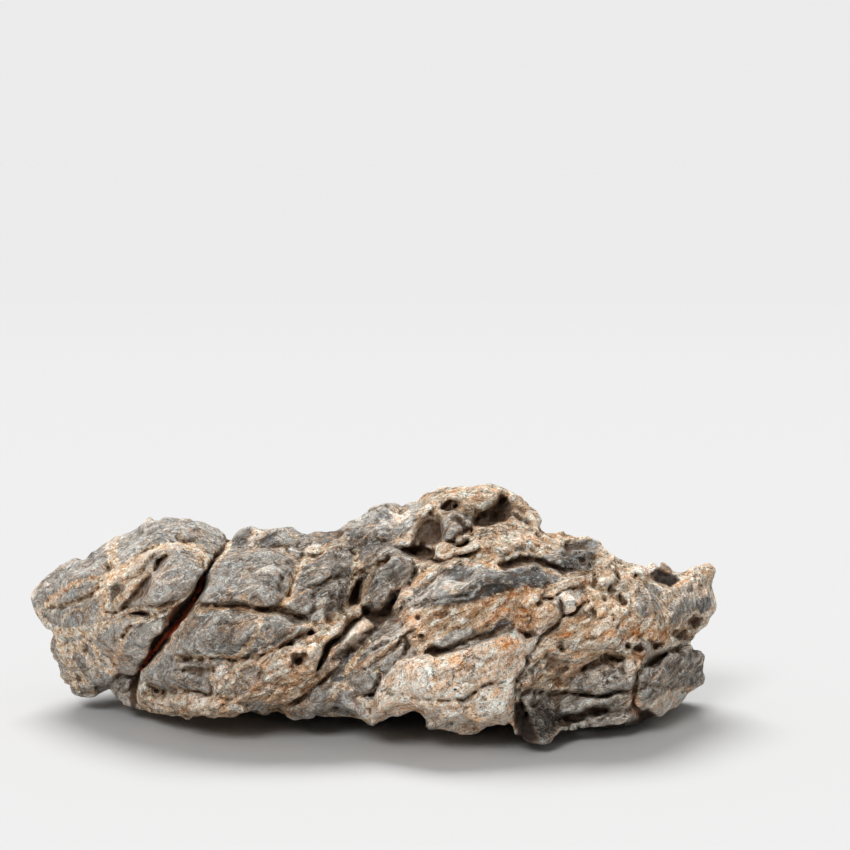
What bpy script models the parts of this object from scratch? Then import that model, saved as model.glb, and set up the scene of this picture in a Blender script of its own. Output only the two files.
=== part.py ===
"""Dragon stone: one rough lump of veined limestone, about 228 mm long, resting on its worn underside.

The stone is one solid. Its outline, its blocks, cracks, veins and pits are drawn on a front elevation, in thirds
of a millimetre, to the right and down from the drawing's corner. The elevation is a true perspective from a point
in front of the stone and a little above it, so a place on the drawing is a line of sight through the stone. The
front and the back are depths along those lines, and the solid is what lies between them, above the ground.
Depths are in millimetres along +Y, away from the viewer, and the finished solid is in metres.
"""

import math
from collections import namedtuple

import bpy
import numpy as np

# The stone's real size, in millimetres, and the same length on the drawing.
STONE_LENGTH = 228.0
DRAWN_LENGTH = 684.0
UNITS_PER_MM = DRAWN_LENGTH / STONE_LENGTH

# The drawing's viewpoint: what the viewer looks straight at, and where the stone's middle stands on the ground.
SIGHT_LINE = np.array((425.0, 425.0))
STANDING_POINT = np.array((375.0, 716.0))
VIEW_DISTANCE = 787.0
VIEW_PITCH = math.radians(6.5)

# The block that the stone is cut from, and how it is cut, in millimetres.
VOXEL = 1.5
LOW_CORNER = (-122.0, -76.0, -4.5)
HIGH_CORNER = (122.0, 66.0, 88.5)
MIDDLE = np.array((-1.0, -5.0, 0.0))
SILHOUETTE_ROUNDING = 4.0
BACK_ROUNDING = 16.0
GROUND_ROUNDING = 1.5
SOLE_SNAP = 0.35
UNTANGLE_ROUNDS = 60
TRIANGLES = 9000
METRES_PER_MM = 0.001

# How a block's border falls, on the drawing, and how far in from it the block goes on swelling.
PLATE_EDGE = 3.0
PLATE_SWELL = 24.0
HOLLOW_EDGE = 3.0

# How far from them, on the drawing, lines and rims still shape the stone, and how many radii a pit reaches.
LINE_REACH = 25.0
RIM_REACH = 12.0
PIT_REACH = 1.6

# How deep the front may be cut in mm: this much at the outline, and this much more for each mm inside it.
OUTLINE_CUT = 1.5
CUT_SLOPE = 1.2

# How far the back is worn in at the ground, and up to what height, in mm.
UNDERCUT = 8.0
UNDERCUT_HEIGHT = 18.0

# How far lines of the drawing wander in the rock, on the drawing, and how long their bends are, in mm.
WANDER = 1.8
WANDER_SIZE = 9.0

Plate = namedtuple("Plate", "name rise dome groove outline")
Line = namedtuple("Line", "name depth width points")
Hollow = namedtuple("Hollow", "name depth outline")
Pit = namedtuple("Pit", "name depth centre radii angle")

OUTLINE = (
    (33, 598), (46, 577), (58, 567), (72, 559), (86, 558), (90, 550), (102, 541), (124, 530), (141, 523),
    (157, 519), (168, 517), (188, 518), (207, 520), (219, 524), (226, 531), (228, 541), (233, 538), (241, 529),
    (250, 528), (270, 529), (285, 527), (300, 531), (318, 530), (336, 529), (345, 523), (356, 519), (366, 511),
    (385, 502), (396, 504), (401, 508), (410, 504), (421, 507), (427, 500), (436, 492), (444, 487), (458, 486),
    (476, 485), (497, 486), (508, 489), (517, 496), (524, 504), (533, 514), (538, 521), (538, 533), (555, 534),
    (561, 532), (577, 540), (592, 541), (602, 545), (619, 557), (630, 564), (645, 562), (655, 565), (669, 569),
    (679, 574), (687, 572), (695, 569), (703, 569), (712, 573), (709, 585), (715, 596), (718, 608), (709, 619),
    (707, 627), (697, 635), (684, 646), (695, 646), (704, 648), (710, 655), (708, 670), (705, 680), (698, 691),
    (689, 699), (667, 718), (661, 724), (640, 727), (633, 730), (621, 732), (590, 731), (562, 734), (546, 739),
    (531, 740), (518, 733), (513, 714), (504, 722), (487, 728), (472, 734), (457, 736), (440, 733), (430, 727),
    (430, 719), (421, 711), (415, 709), (400, 714), (388, 717), (372, 722), (347, 718), (329, 714), (302, 720),
    (293, 720), (286, 715), (280, 708), (273, 708), (262, 713), (240, 714), (228, 715), (210, 714), (185, 718),
    (166, 716), (146, 711), (138, 714), (130, 709), (121, 708), (113, 705), (113, 694), (109, 690), (96, 698),
    (87, 701), (80, 699), (72, 693), (72, 684), (60, 678), (58, 672), (50, 656), (49, 644), (54, 633), (40, 619),
)

# Depth of the front face at places on the drawing: (right, down, depth in mm).
FRONT_DEPTHS = (
    (33, 598, 8), (60, 575, -4), (105, 540, -4), (180, 520, -6), (226, 535, -6), (60, 640, -4), (85, 600, -20),
    (120, 590, -28), (180, 570, -34), (110, 650, -24), (90, 695, -4), (140, 700, -18), (130, 550, -20),
    (240, 535, -10), (250, 590, -38), (210, 650, -44), (200, 712, -38), (300, 532, -6), (320, 590, -34),
    (300, 670, -50), (300, 715, -40), (385, 505, 0), (385, 540, -20), (385, 590, -32), (340, 640, -46),
    (350, 700, -48), (440, 690, -60), (457, 733, -52), (480, 630, -54), (400, 640, -50), (420, 560, -30),
    (470, 488, 0), (470, 530, -22), (530, 520, -6), (500, 578, -46), (560, 540, -14), (560, 560, -30),
    (600, 600, -46), (600, 548, -18), (650, 568, -18), (650, 610, -40), (705, 575, -4), (715, 605, 0),
    (700, 640, -14), (600, 660, -44), (650, 690, -36), (706, 665, -2), (640, 725, -28), (545, 738, -56),
    (560, 700, -38), (690, 700, -8),
)

# Depth of the back face.
BACK_DEPTHS = (
    (33, 598, 26), (60, 575, 36), (60, 640, 36), (120, 545, 32), (110, 620, 46), (90, 700, 36), (180, 520, 27),
    (200, 610, 54), (200, 715, 50), (300, 530, 24), (300, 620, 50), (300, 715, 52), (385, 505, 26),
    (380, 600, 48), (380, 715, 50), (470, 488, 30), (470, 560, 46), (470, 650, 54), (470, 735, 46),
    (560, 535, 26), (560, 640, 48), (560, 735, 40), (650, 566, 24), (650, 650, 40), (650, 725, 32),
    (715, 605, 26), (706, 665, 28), (690, 700, 28),
)

# The blocks of the front: how far each stands forward, how much it swells and how deep its border groove is.
PLATES = (
    Plate("left_cap", -2, 2, 1.5, ((86, 558), (90, 550), (102, 541), (124, 529), (157, 515), (210, 515), (230, 531),
          (224, 546), (214, 557), (204, 549), (192, 545), (177, 543), (166, 547), (147, 554), (136, 561), (119, 574))),
    Plate("left_shoulder", 0, 2, 1.5, ((30, 602), (46, 574), (72, 555), (88, 555), (92, 547), (113, 535), (113, 556),
          (106, 570), (103, 580), (90, 579), (77, 582), (63, 589), (52, 598), (45, 608))),
    Plate("left_lens", -1, 1, 1, ((50, 602), (63, 590), (77, 583), (103, 580), (97, 590), (88, 597), (68, 604))),
    Plate("left_nose", 0, 2, 1, ((28, 606), (45, 608), (68, 606), (88, 599), (97, 602), (98, 612), (92, 625),
          (75, 634), (55, 634), (38, 622))),
    Plate("left_face", 0, 1, 1, ((50, 636), (75, 636), (92, 643), (108, 657), (121, 672), (110, 686), (104, 694),
          (92, 701), (78, 690), (63, 676), (54, 655))),
    Plate("left_flank", 1, 2, 1, ((92, 626), (105, 618), (125, 617), (140, 621), (158, 620), (167, 620), (158, 630),
          (147, 651), (146, 658), (139, 669), (122, 671), (108, 656), (90, 640))),
    Plate("left_ridge", 3, 2, 1.5, ((104, 583), (119, 574), (136, 560), (150, 552), (168, 546), (160, 556),
          (150, 568), (146, 581), (135, 592), (122, 607), (108, 612), (104, 607), (108, 596))),
    Plate("left_middle", 4, 3, 2, ((125, 606), (135, 593), (146, 581), (152, 568), (168, 545), (177, 543),
          (193, 546), (204, 549), (214, 560), (208, 572), (194, 587), (185, 596), (172, 605), (150, 604))),
    Plate("left_heel", -4, 1, 1, ((68, 684), (79, 690), (92, 698), (108, 690), (108, 697), (90, 704), (72, 698))),
    Plate("left_foot", -7, 2, 1.5, ((110, 686), (118, 674), (140, 672), (139, 684), (136, 691), (138, 703),
          (148, 712), (138, 718), (108, 710))),
    Plate("middle_upper", 2, 4, 2, ((207, 573), (212, 566), (222, 556), (232, 551), (245, 549), (262, 550),
          (275, 553), (290, 559), (297, 566), (293, 582), (288, 596), (276, 606), (262, 610), (246, 606),
          (216, 605), (200, 604), (200, 595), (207, 585))),
    Plate("middle_crest", -2, 1.5, 1.5, ((224, 548), (228, 536), (241, 525), (285, 523), (336, 525), (334, 541),
          (322, 550), (306, 559), (297, 563), (290, 557), (275, 551), (236, 550))),
    Plate("second_upper", 1, 3, 2, ((300, 566), (312, 560), (330, 549), (346, 539), (356, 550), (358, 562),
          (352, 585), (347, 600), (338, 609), (318, 612), (306, 617), (294, 615), (283, 607), (289, 597),
          (294, 582))),
    Plate("second_crest", -2, 2, 1.5, ((336, 529), (356, 515), (385, 498), (421, 503), (417, 520), (410, 530),
          (398, 537), (392, 541), (374, 541), (360, 547), (350, 541), (338, 540))),
    Plate("third_upper", 1, 4, 2.5, ((362, 549), (376, 541), (392, 542), (401, 549), (412, 558), (416, 568),
          (410, 580), (400, 594), (391, 601), (384, 613), (374, 618), (366, 610), (363, 598), (366, 578),
          (359, 563))),
    Plate("middle_lower", 2, 4, 2, ((199, 609), (228, 608), (256, 612), (276, 614), (290, 618), (303, 624),
          (315, 631), (297, 637), (285, 643), (274, 649), (249, 656), (228, 663), (215, 675), (210, 694),
          (180, 691), (165, 692), (153, 687), (142, 683), (143, 674), (154, 664), (167, 647), (184, 625))),
    Plate("bottom_ledge", 3, 1.5, 1.5, ((136, 692), (142, 684), (153, 689), (165, 693), (180, 692), (201, 693),
          (230, 699), (262, 706), (265, 718), (240, 718), (185, 722), (150, 716), (137, 703))),
    Plate("tan_tongue", 0, 3, 1.5, ((317, 631), (325, 624), (336, 617), (346, 608), (362, 608), (366, 612),
          (348, 628), (340, 637), (331, 642), (325, 650), (322, 660), (315, 672), (305, 690), (297, 702),
          (279, 707), (260, 708), (228, 700), (213, 695), (213, 680), (222, 668), (250, 657), (268, 654),
          (285, 645), (297, 638))),
    Plate("tan_lens", 2, 2, 1, ((302, 672), (299, 655), (307, 645), (318, 642), (323, 650), (321, 660),
          (316, 671), (308, 677))),
    Plate("cream_lobes", 3, 2, 1.5, ((338, 650), (345, 640), (348, 628), (356, 621), (366, 618), (376, 621),
          (378, 628), (370, 633), (360, 637), (352, 645), (344, 651))),
    Plate("banded_slope", -2, 1, 0.5, ((326, 672), (334, 653), (345, 650), (360, 639), (375, 631), (391, 612),
          (404, 625), (405, 640), (378, 662), (352, 676), (336, 684))),
    Plate("low_block_a", 0, 2, 1, ((307, 707), (307, 697), (313, 688), (319, 683), (334, 687), (329, 706),
          (318, 716), (303, 724), (290, 724), (286, 713))),
    Plate("low_block_b", 0, 2, 1, ((336, 691), (352, 690), (356, 695), (358, 707), (372, 708), (374, 722),
          (347, 722), (322, 718), (330, 706))),
    Plate("low_block_c", 1, 2, 1.5, ((352, 676), (366, 668), (378, 664), (382, 672), (378, 682), (374, 693),
          (357, 695), (353, 684))),
    Plate("grey_slab", 0, 1, 1, ((378, 664), (390, 655), (404, 643), (418, 648), (408, 659), (396, 664),
          (392, 672), (381, 682))),
    Plate("knob_cap", 1, 2, 1, ((421, 507), (430, 495), (444, 484), (476, 481), (510, 486), (526, 502), (540, 518),
          (542, 536), (531, 533), (523, 522), (513, 511), (504, 503), (480, 509), (462, 508), (440, 507),
          (428, 516), (418, 526))),
    Plate("knob_flake", -5, 2, 1, ((412, 545), (420, 528), (430, 520), (440, 524), (441, 536), (434, 546))),
    Plate("knob_nub", 4, 4, 1.5, ((444, 541), (442, 526), (446, 516), (453, 512), (462, 514), (472, 520),
          (473, 528), (464, 533), (456, 541))),
    Plate("knob_ledge", 3, 2, 1.5, ((433, 557), (434, 544), (453, 543), (457, 548), (470, 546), (479, 542),
          (480, 548), (470, 553), (450, 557))),
    Plate("cream_facets", 1, 2, 1, ((391, 611), (392, 596), (405, 583), (414, 589), (419, 598), (406, 605))),
    Plate("slate_block", 1, 2, 1.5, ((406, 605), (418, 594), (431, 584), (443, 572), (457, 566), (479, 566),
          (491, 571), (509, 570), (534, 564), (542, 572), (560, 576), (560, 583), (540, 587), (515, 590),
          (479, 598), (469, 601), (449, 605), (433, 606))),
    Plate("knobbly_ledge", 2, 2, 1, ((543, 556), (556, 549), (572, 546), (590, 545), (600, 552), (592, 561),
          (585, 571), (572, 573), (560, 570), (548, 564))),
    Plate("round_lump", 2, 3, 1, ((591, 563), (600, 552), (613, 556), (619, 568), (611, 581), (597, 580))),
    Plate("rope_facets", 2, 2, 1, ((536, 612), (545, 600), (560, 592), (582, 588), (586, 600), (570, 610),
          (560, 616), (551, 632), (538, 638), (532, 626))),
    Plate("cream_slab", 4, 3, 2, ((372, 706), (376, 690), (381, 680), (395, 669), (398, 662), (415, 656),
          (442, 653), (470, 645), (500, 633), (515, 628), (527, 638), (540, 638), (538, 646), (526, 660),
          (525, 667), (514, 680), (511, 700), (514, 708), (512, 718), (487, 732), (457, 740), (435, 735),
          (427, 722), (415, 711), (388, 720), (372, 726))),
    Plate("pleat_upper", 1, 2, 1, ((541, 634), (558, 644), (548, 653), (545, 661), (528, 670), (526, 666),
          (539, 646))),
    Plate("pleat_lower", -3, 2, 1.5, ((548, 654), (556, 660), (560, 672), (560, 683), (543, 690), (521, 690),
          (514, 680), (527, 671), (545, 662))),
    Plate("hanging_flake", -6, 1, 1, ((516, 690), (543, 690), (541, 696), (528, 711), (520, 703))),
    Plate("shaded_keel", -5, 3, 1.5, ((515, 728), (522, 712), (534, 706), (546, 692), (566, 690), (571, 700),
          (562, 716), (556, 732), (540, 744), (528, 744))),
    Plate("grey_wedge", 3, 3, 1.5, ((569, 690), (573, 676), (588, 668), (606, 664), (622, 672), (629, 684),
          (630, 692), (619, 689), (601, 695), (584, 693))),
    Plate("wedge_strip", 1, 2, 1.5, ((569, 693), (584, 695), (601, 698), (619, 692), (631, 694), (630, 706),
          (616, 710), (596, 714), (574, 722), (560, 728), (566, 712))),
    Plate("bottom_lump", -2, 3, 1.5, ((568, 731), (577, 722), (596, 716), (617, 712), (634, 708), (641, 716),
          (640, 730), (620, 734), (590, 734))),
    Plate("tan_lip", 1, 2, 0.5, ((541, 664), (552, 652), (567, 640), (588, 628), (612, 624), (625, 634),
          (622, 648), (608, 651), (592, 657), (579, 668), (562, 677), (546, 676))),
    Plate("right_block", 1, 3, 2.5, ((636, 690), (634, 680), (644, 667), (650, 660), (662, 650), (684, 645),
          (703, 645), (716, 655), (712, 668), (688, 680), (668, 690), (646, 706))),
    Plate("right_skirt", -1, 2, 1.5, ((646, 708), (668, 693), (690, 682), (712, 670), (712, 684), (680, 712),
          (660, 730), (645, 722))),
    Plate("grey_crystal", 2, 1, 0.5, ((649, 583), (660, 590), (655, 604), (644, 616), (632, 614), (639, 595))),
    Plate("right_tip", 1, 2, 1, ((668, 612), (678, 596), (692, 588), (708, 583), (722, 600), (720, 616),
          (706, 622), (690, 622), (676, 622))),
)

# Open cracks: how deep they cut and how wide they are at the surface, both in mm.
CRACKS = (
    Line("great_crack_top", 10, 1.0, ((229, 538), (222, 550), (210, 568), (206, 576))),
    Line("great_crack", 15, 2.4, ((206, 574), (199, 590), (188, 606), (172, 624), (160, 640), (152, 655),
         (142, 668), (137, 678))),
    Line("great_crack_foot", 9, 1.6, ((140, 672), (134, 684), (132, 696), (134, 712))),
    Line("left_fissure", 3, 0.9, ((50, 608), (68, 604), (88, 597), (98, 588))),
    Line("left_slit", 8, 2.0, ((149, 578), (141, 589), (131, 599), (122, 608))),
    Line("left_notch", 6, 1.5, ((167, 556), (161, 563), (155, 571))),
    Line("left_seam", 3, 0.9, ((105, 612), (128, 612), (150, 617), (172, 610))),
    Line("face_seam", 2, 0.7, ((93, 644), (104, 654), (113, 664), (121, 673))),
    Line("middle_gap", 6, 1.5, ((200, 605), (216, 606), (232, 605), (247, 608), (263, 611))),
    Line("middle_hollow", 5, 1.6, ((262, 611), (280, 611), (294, 619), (308, 620))),
    Line("second_step", 3, 1.0, ((307, 588), (319, 585), (330, 580), (338, 576), (348, 575))),
    Line("third_foot", 9, 2.4, ((366, 612), (376, 620), (388, 611), (394, 600))),
    Line("lower_seam", 4, 1.1, ((176, 659), (188, 661), (197, 658), (219, 658), (236, 662))),
    Line("ledge_seam", 3, 1.0, ((140, 683), (153, 688), (166, 692), (201, 692), (212, 697))),
    Line("tongue_crack", 5, 1.2, ((366, 614), (349, 627), (340, 637), (328, 644), (324, 658), (315, 672))),
    Line("tongue_foot", 6, 1.3, ((334, 674), (320, 682), (307, 694), (298, 703), (283, 707))),
    Line("shelf_shadow", 9, 1.8, ((498, 566), (508, 562), (520, 559), (543, 560), (552, 566), (561, 573))),
    Line("slab_crack", 2.5, 0.8, ((383, 688), (391, 695), (406, 697), (421, 699), (446, 700), (463, 701),
         (477, 690), (488, 684), (512, 684))),
    Line("slate_foot", 3, 1.2, ((470, 640), (490, 635), (506, 624))),
    Line("right_crease", 6, 1.1, ((637, 672), (635, 690), (633, 707))),
    Line("lip_shadow", 7, 1.6, ((578, 670), (590, 660), (608, 654), (624, 656))),
    Line("wedge_seam", 3, 0.8, ((567, 692), (584, 695), (601, 696), (619, 690), (631, 693))),
    Line("keel_cut", 6, 1.6, ((556, 731), (568, 720), (588, 713), (606, 711))),
    Line("right_cut", 4, 1.3, ((645, 668), (656, 662), (666, 652), (684, 648))),
    Line("keel_shadow", 7, 2.0, ((513, 708), (519, 716), (522, 732))),
)

# Raised veins and crests.
RIDGES = (
    Line("left_vein", 1.4, 1.2, ((117, 534), (112, 548), (112, 558), (115, 568), (120, 575))),
    Line("shoulder_vein", 0.8, 0.8, ((48, 606), (58, 594), (77, 583), (104, 579))),
    Line("cream_vein", 1.5, 1.3, ((346, 538), (329, 547), (320, 554), (301, 563), (296, 574), (292, 586))),
    Line("crust_line", 1.2, 1.0, ((200, 609), (228, 607), (256, 611), (276, 613), (290, 618), (315, 630))),
    Line("slab_crest", 1.5, 1.0, ((541, 634), (539, 645), (526, 660), (524, 668), (514, 680), (511, 700))),
    Line("pleat_crest", 1.2, 0.9, ((559, 645), (548, 653), (545, 662), (527, 670))),
    Line("right_crest", 1.2, 1.2, ((640, 663), (652, 655), (672, 647), (690, 634))),
)

# Hollows sunk into the front: how deep each goes, in mm, and its outline.
HOLLOWS = (
    Hollow("knob_hollow", 11, ((500, 493), (510, 498), (515, 508), (517, 518), (508, 526), (489, 530), (475, 528),
           (472, 520), (477, 511), (488, 507), (496, 502))),
    Hollow("knob_arch", 3, ((511, 501), (522, 506), (531, 515), (534, 528), (524, 527), (511, 515))),
    Hollow("knob_pocket", 5, ((438, 508), (443, 502), (452, 499), (460, 501), (462, 508), (456, 513), (446, 514))),
    Hollow("knob_crevice", 9, ((403, 545), (412, 549), (420, 545), (430, 548), (435, 556), (431, 563), (420, 562),
           (411, 558))),
    Hollow("cave", 12, ((645, 573), (656, 569), (666, 570), (676, 574), (681, 578), (675, 584), (669, 589),
           (661, 586), (652, 581))),
    Hollow("second_gap", 8, ((364, 574), (363, 590), (360, 606), (349, 606), (346, 600), (351, 590), (357, 579))),
    Hollow("tongue_gap", 6, ((341, 634), (333, 638), (326, 643), (322, 650), (316, 668), (319, 670), (326, 657),
           (332, 649), (340, 641))),
    Hollow("lip_shadow", 7, ((578, 668), (584, 663), (593, 659), (606, 653), (612, 656), (622, 658), (625, 664),
           (609, 662), (594, 665), (582, 672))),
    Hollow("shelf_shadow", 7, ((497, 564), (512, 558), (522, 555), (538, 556), (552, 562), (564, 572), (561, 576),
           (550, 569), (536, 564), (520, 565), (505, 571))),
    Hollow("keel_shade", 6, ((513, 703), (522, 701), (529, 713), (541, 739), (530, 743), (516, 736))),
)

# Small round pits.
PITS = (
    Pit("left_eye", 6, (140, 614), (10, 5), 5),
    Pit("lower_pit", 4, (195, 669), (12, 5), 0),
    Pit("ledge_pit", 4, (157, 694), (10, 6), 10),
    Pit("tongue_pit", 6, (298, 661), (6, 5), -20),
    Pit("slab_hole", 6, (406, 646), (3, 7), 10),
    Pit("lens_hole", 6, (436, 650), (8, 5), 0),
    Pit("tip_hole_a", 6, (696, 622), (7, 4), -25),
    Pit("tip_hole_b", 6, (683, 636), (7, 5), -25),
    Pit("keel_pit", 4, (599, 709), (13, 5), -12),
    Pit("shelf_hole", 5, (570, 550), (5, 4), 0),
    Pit("rope_hole", 4, (611, 591), (5, 4), 30),
)

# Feet that the stone stands on: (x, y, radius) in mm. Between them the underside arches clear of the ground.
FEET = ((-62, 28, 22), (-52, 12, 14), (-6, 30, 22), (27, -24, 14), (50, 8, 24), (76, -8, 16), (58, 24, 16), (55, -46, 13))
ARCH = 5.0


def normalised(vector):
    vector = np.asarray(vector, float)
    return vector / np.linalg.norm(vector)


BED_NORMAL = normalised((-0.52, -0.25, 0.80))
BED_STRIKE = normalised((0.80, 0.10, 0.55))
FORWARD = normalised((0.0, math.cos(VIEW_PITCH), -math.sin(VIEW_PITCH)))
UPWARD = normalised((0.0, math.sin(VIEW_PITCH), math.cos(VIEW_PITCH)))
FOCAL = VIEW_DISTANCE * UNITS_PER_MM
OFFSET = (STANDING_POINT - SIGHT_LINE) / UNITS_PER_MM
EYE = -(OFFSET[0] * np.array((1.0, 0.0, 0.0)) - OFFSET[1] * UPWARD + VIEW_DISTANCE * FORWARD)


def drawn(points):
    """Where points, in mm, are seen on the drawing."""
    ray = points - EYE
    depth = ray @ FORWARD
    return SIGHT_LINE[0] + FOCAL * ray[:, 0] / depth, SIGHT_LINE[1] - FOCAL * (ray @ UPWARD) / depth


def smoothstep(low, high, value):
    t = np.clip((value - low) / (high - low), 0.0, 1.0)
    return t * t * (3.0 - 2.0 * t)


def smooth_max(a, b, rounding):
    h = np.clip(0.5 + 0.5 * (a - b) / rounding, 0.0, 1.0)
    return b + (a - b) * h + rounding * h * (1.0 - h)


def hashed(cells, salt):
    """A repeatable number from 0 to 1 for each whole-number cell."""
    n = cells[..., 0] * 73856093 ^ cells[..., 1] * 19349663 ^ cells[..., 2] * 83492791 ^ salt * 2654435761
    n = (n ^ (n >> 13)) * 1274126177 & 0xFFFFFFFF
    n = (n ^ (n >> 16)) * 2246822519 & 0xFFFFFFFF
    return (n ^ (n >> 15)) / 0xFFFFFFFF


def noise(points, size, salt):
    """Smooth noise from -1 to 1 whose lumps are about size across."""
    scaled = points / size
    cells = np.floor(scaled).astype(np.int64)
    t = scaled - cells
    t = t * t * t * (t * (t * 6.0 - 15.0) + 10.0)
    total = np.zeros(len(points))
    for corner in np.ndindex(2, 2, 2):
        weight = np.prod(np.where(corner, t, 1.0 - t), axis=1)
        total += weight * hashed(cells + corner, salt)
    return 2.0 * total - 1.0


def fractal(points, size, octaves, salt):
    total = np.zeros(len(points))
    for octave in range(octaves):
        total += noise(points, size / 2**octave, salt + octave) / 2**octave
    return total


def chips(points, size, drop, slope, bowl, salt):
    """Shallow chips about size across that meet in sharp ridges. Each has its own level and tilt."""
    scaled = points / size
    home = np.floor(scaled - 0.5).astype(np.int64)
    lowest = np.full(len(points), np.inf)
    for step in np.ndindex(2, 2, 2):
        cell = home + step
        loose = np.stack([hashed(cell, salt + axis) for axis in range(6)], axis=1) - 0.5
        gap = scaled - cell - 0.5 - 0.5 * loose[:, :3]
        level = drop * hashed(cell, salt + 6) + 2.0 * slope * size * np.sum(loose[:, 3:] * gap, axis=1)
        lowest = np.minimum(lowest, level + bowl * size * np.sum(gap * gap, axis=1))
    return lowest - 0.5 * drop - 0.25 * bowl * size


def beds(points, thickness, step, groove, salt):
    """Layers that rise to the right and lean back: each stands a little proud of or behind the next."""
    across = points @ BED_NORMAL / thickness
    across = across + 0.7 * noise(points, 45.0, salt) + 0.22 * noise(points, 14.0, salt + 1)
    bed = np.floor(across).astype(np.int64)
    share = across - bed
    along = np.floor(points @ BED_STRIKE / (4.0 * thickness) + 0.37 * bed).astype(np.int64)
    here = hashed(np.stack([bed, along, bed * 0], axis=1), salt + 2)
    there = hashed(np.stack([bed + 1, along, bed * 0], axis=1), salt + 2)
    height = step * (here + (there - here) * smoothstep(0.72, 1.0, share) - 0.5)
    return height - groove * np.exp(-(((share - 0.72) / 0.09) ** 2))


class Spline:
    """A thin-plate surface through (right, down, depth) places."""

    def __init__(self, places):
        places = np.array(places, float)
        self.knots = places[:, :2] / 100.0
        count = len(places)
        affine = np.column_stack([np.ones(count), self.knots])
        system = np.zeros((count + 3, count + 3))
        system[:count, :count] = self.bend(self.knots)
        system[:count, count:] = affine
        system[count:, :count] = affine.T
        self.weights = np.linalg.solve(system, np.concatenate([places[:, 2], np.zeros(3)]))

    def bend(self, at):
        gap = np.linalg.norm(at[:, None] - self.knots[None], axis=2)
        return gap**2 * np.log(np.maximum(gap, 1e-9))

    def at(self, right, down):
        depth = np.empty(len(right))
        for part in np.array_split(np.arange(len(right)), max(1, len(right) // 200000)):
            at = np.column_stack([right[part], down[part]]) / 100.0
            depth[part] = self.bend(at) @ self.weights[:-3] + self.weights[-3] + at @ self.weights[-2:]
        return depth


def line_distance(right, down, points, closed=False):
    """Distance in drawing units from places on the drawing to a run of straight pieces."""
    points = np.array(points, float)
    ends = np.roll(points, -1, axis=0) if closed else points[1:]
    best = np.full(len(right), np.inf)
    for (ax, ay), (bx, by) in zip(points, ends):
        dx, dy = bx - ax, by - ay
        t = np.clip(((right - ax) * dx + (down - ay) * dy) / (dx * dx + dy * dy), 0.0, 1.0)
        best = np.minimum(best, np.hypot(right - ax - t * dx, down - ay - t * dy))
    return best


def inside(right, down, outline):
    found = np.zeros(len(right), bool)
    for (ax, ay), (bx, by) in zip(outline, outline[1:] + outline[:1]):
        if ay != by:
            crosses = (ay > down) != (by > down)
            found ^= crosses & (right < (bx - ax) * (down - ay) / (by - ay) + ax)
    return found


def depth_inside(right, down, outline):
    """Distance in drawing units inside an outline, negative outside it."""
    distance = line_distance(right, down, outline, closed=True)
    return np.where(inside(right, down, outline), distance, -distance)


def near(right, down, points, margin):
    """The indices of the places within margin of the box around some points."""
    low, high = np.min(points, axis=0) - margin, np.max(points, axis=0) + margin
    return np.nonzero((right > low[0]) & (right < high[0]) & (down > low[1]) & (down < high[1]))[0]


def beside(line, right, down, power):
    """1 along a line of the drawing, falling to 0 beside it. A higher power makes steeper sides."""
    across = line_distance(right, down, line.points) / UNITS_PER_MM
    return np.exp(-((across / line.width) ** power))


def within_pit(pit, right, down):
    """1 in a pit's middle, falling to 0 at its rim."""
    turn = math.radians(pit.angle)
    dx, dy = right - pit.centre[0], down - pit.centre[1]
    along = (dx * math.cos(turn) + dy * math.sin(turn)) / pit.radii[0]
    across = (dy * math.cos(turn) - dx * math.sin(turn)) / pit.radii[1]
    return np.exp(-((along**2 + across**2) ** 1.5))


def relief(right, down):
    """How far the front stands forward of its smooth depth, in mm, at places on the drawing."""
    height = np.zeros(len(right))
    for plate in PLATES:
        here = near(right, down, plate.outline, RIM_REACH)
        within = depth_inside(right[here], down[here], plate.outline)
        rounded = 1.0 - (1.0 - np.clip(within / PLATE_SWELL, 0.0, 1.0)) ** 2
        share = smoothstep(-PLATE_EDGE, PLATE_EDGE, within)
        height[here] += share * (plate.rise + plate.dome * rounded - height[here])
        height[here] -= plate.groove * np.exp(-((within / PLATE_EDGE) ** 2))
    for ridge in RIDGES:
        here = near(right, down, ridge.points, LINE_REACH)
        height[here] += ridge.depth * beside(ridge, right[here], down[here], 2)
    for crack in CRACKS:
        here = near(right, down, crack.points, LINE_REACH)
        height[here] -= crack.depth * beside(crack, right[here], down[here], 4)
    for hollow in HOLLOWS:
        here = near(right, down, hollow.outline, RIM_REACH)
        within = depth_inside(right[here], down[here], hollow.outline)
        height[here] -= hollow.depth * smoothstep(-HOLLOW_EDGE, HOLLOW_EDGE, within)
    for pit in PITS:
        here = near(right, down, [pit.centre], PIT_REACH * max(pit.radii))
        height[here] -= pit.depth * within_pit(pit, right[here], down[here])
    return height


def sole(points):
    """Height of the underside over the ground, in mm: none at the feet, and an uneven arch between them."""
    height = np.full(len(points), ARCH)
    for x, y, radius in FEET:
        away = np.hypot(points[:, 0] - x, points[:, 1] - y)
        height = np.minimum(height, ARCH * smoothstep(0.6 * radius, 1.3 * radius, away))
    return height * (1.0 + 0.4 * noise(points * (1, 1, 0), 14.0, 90))


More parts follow.
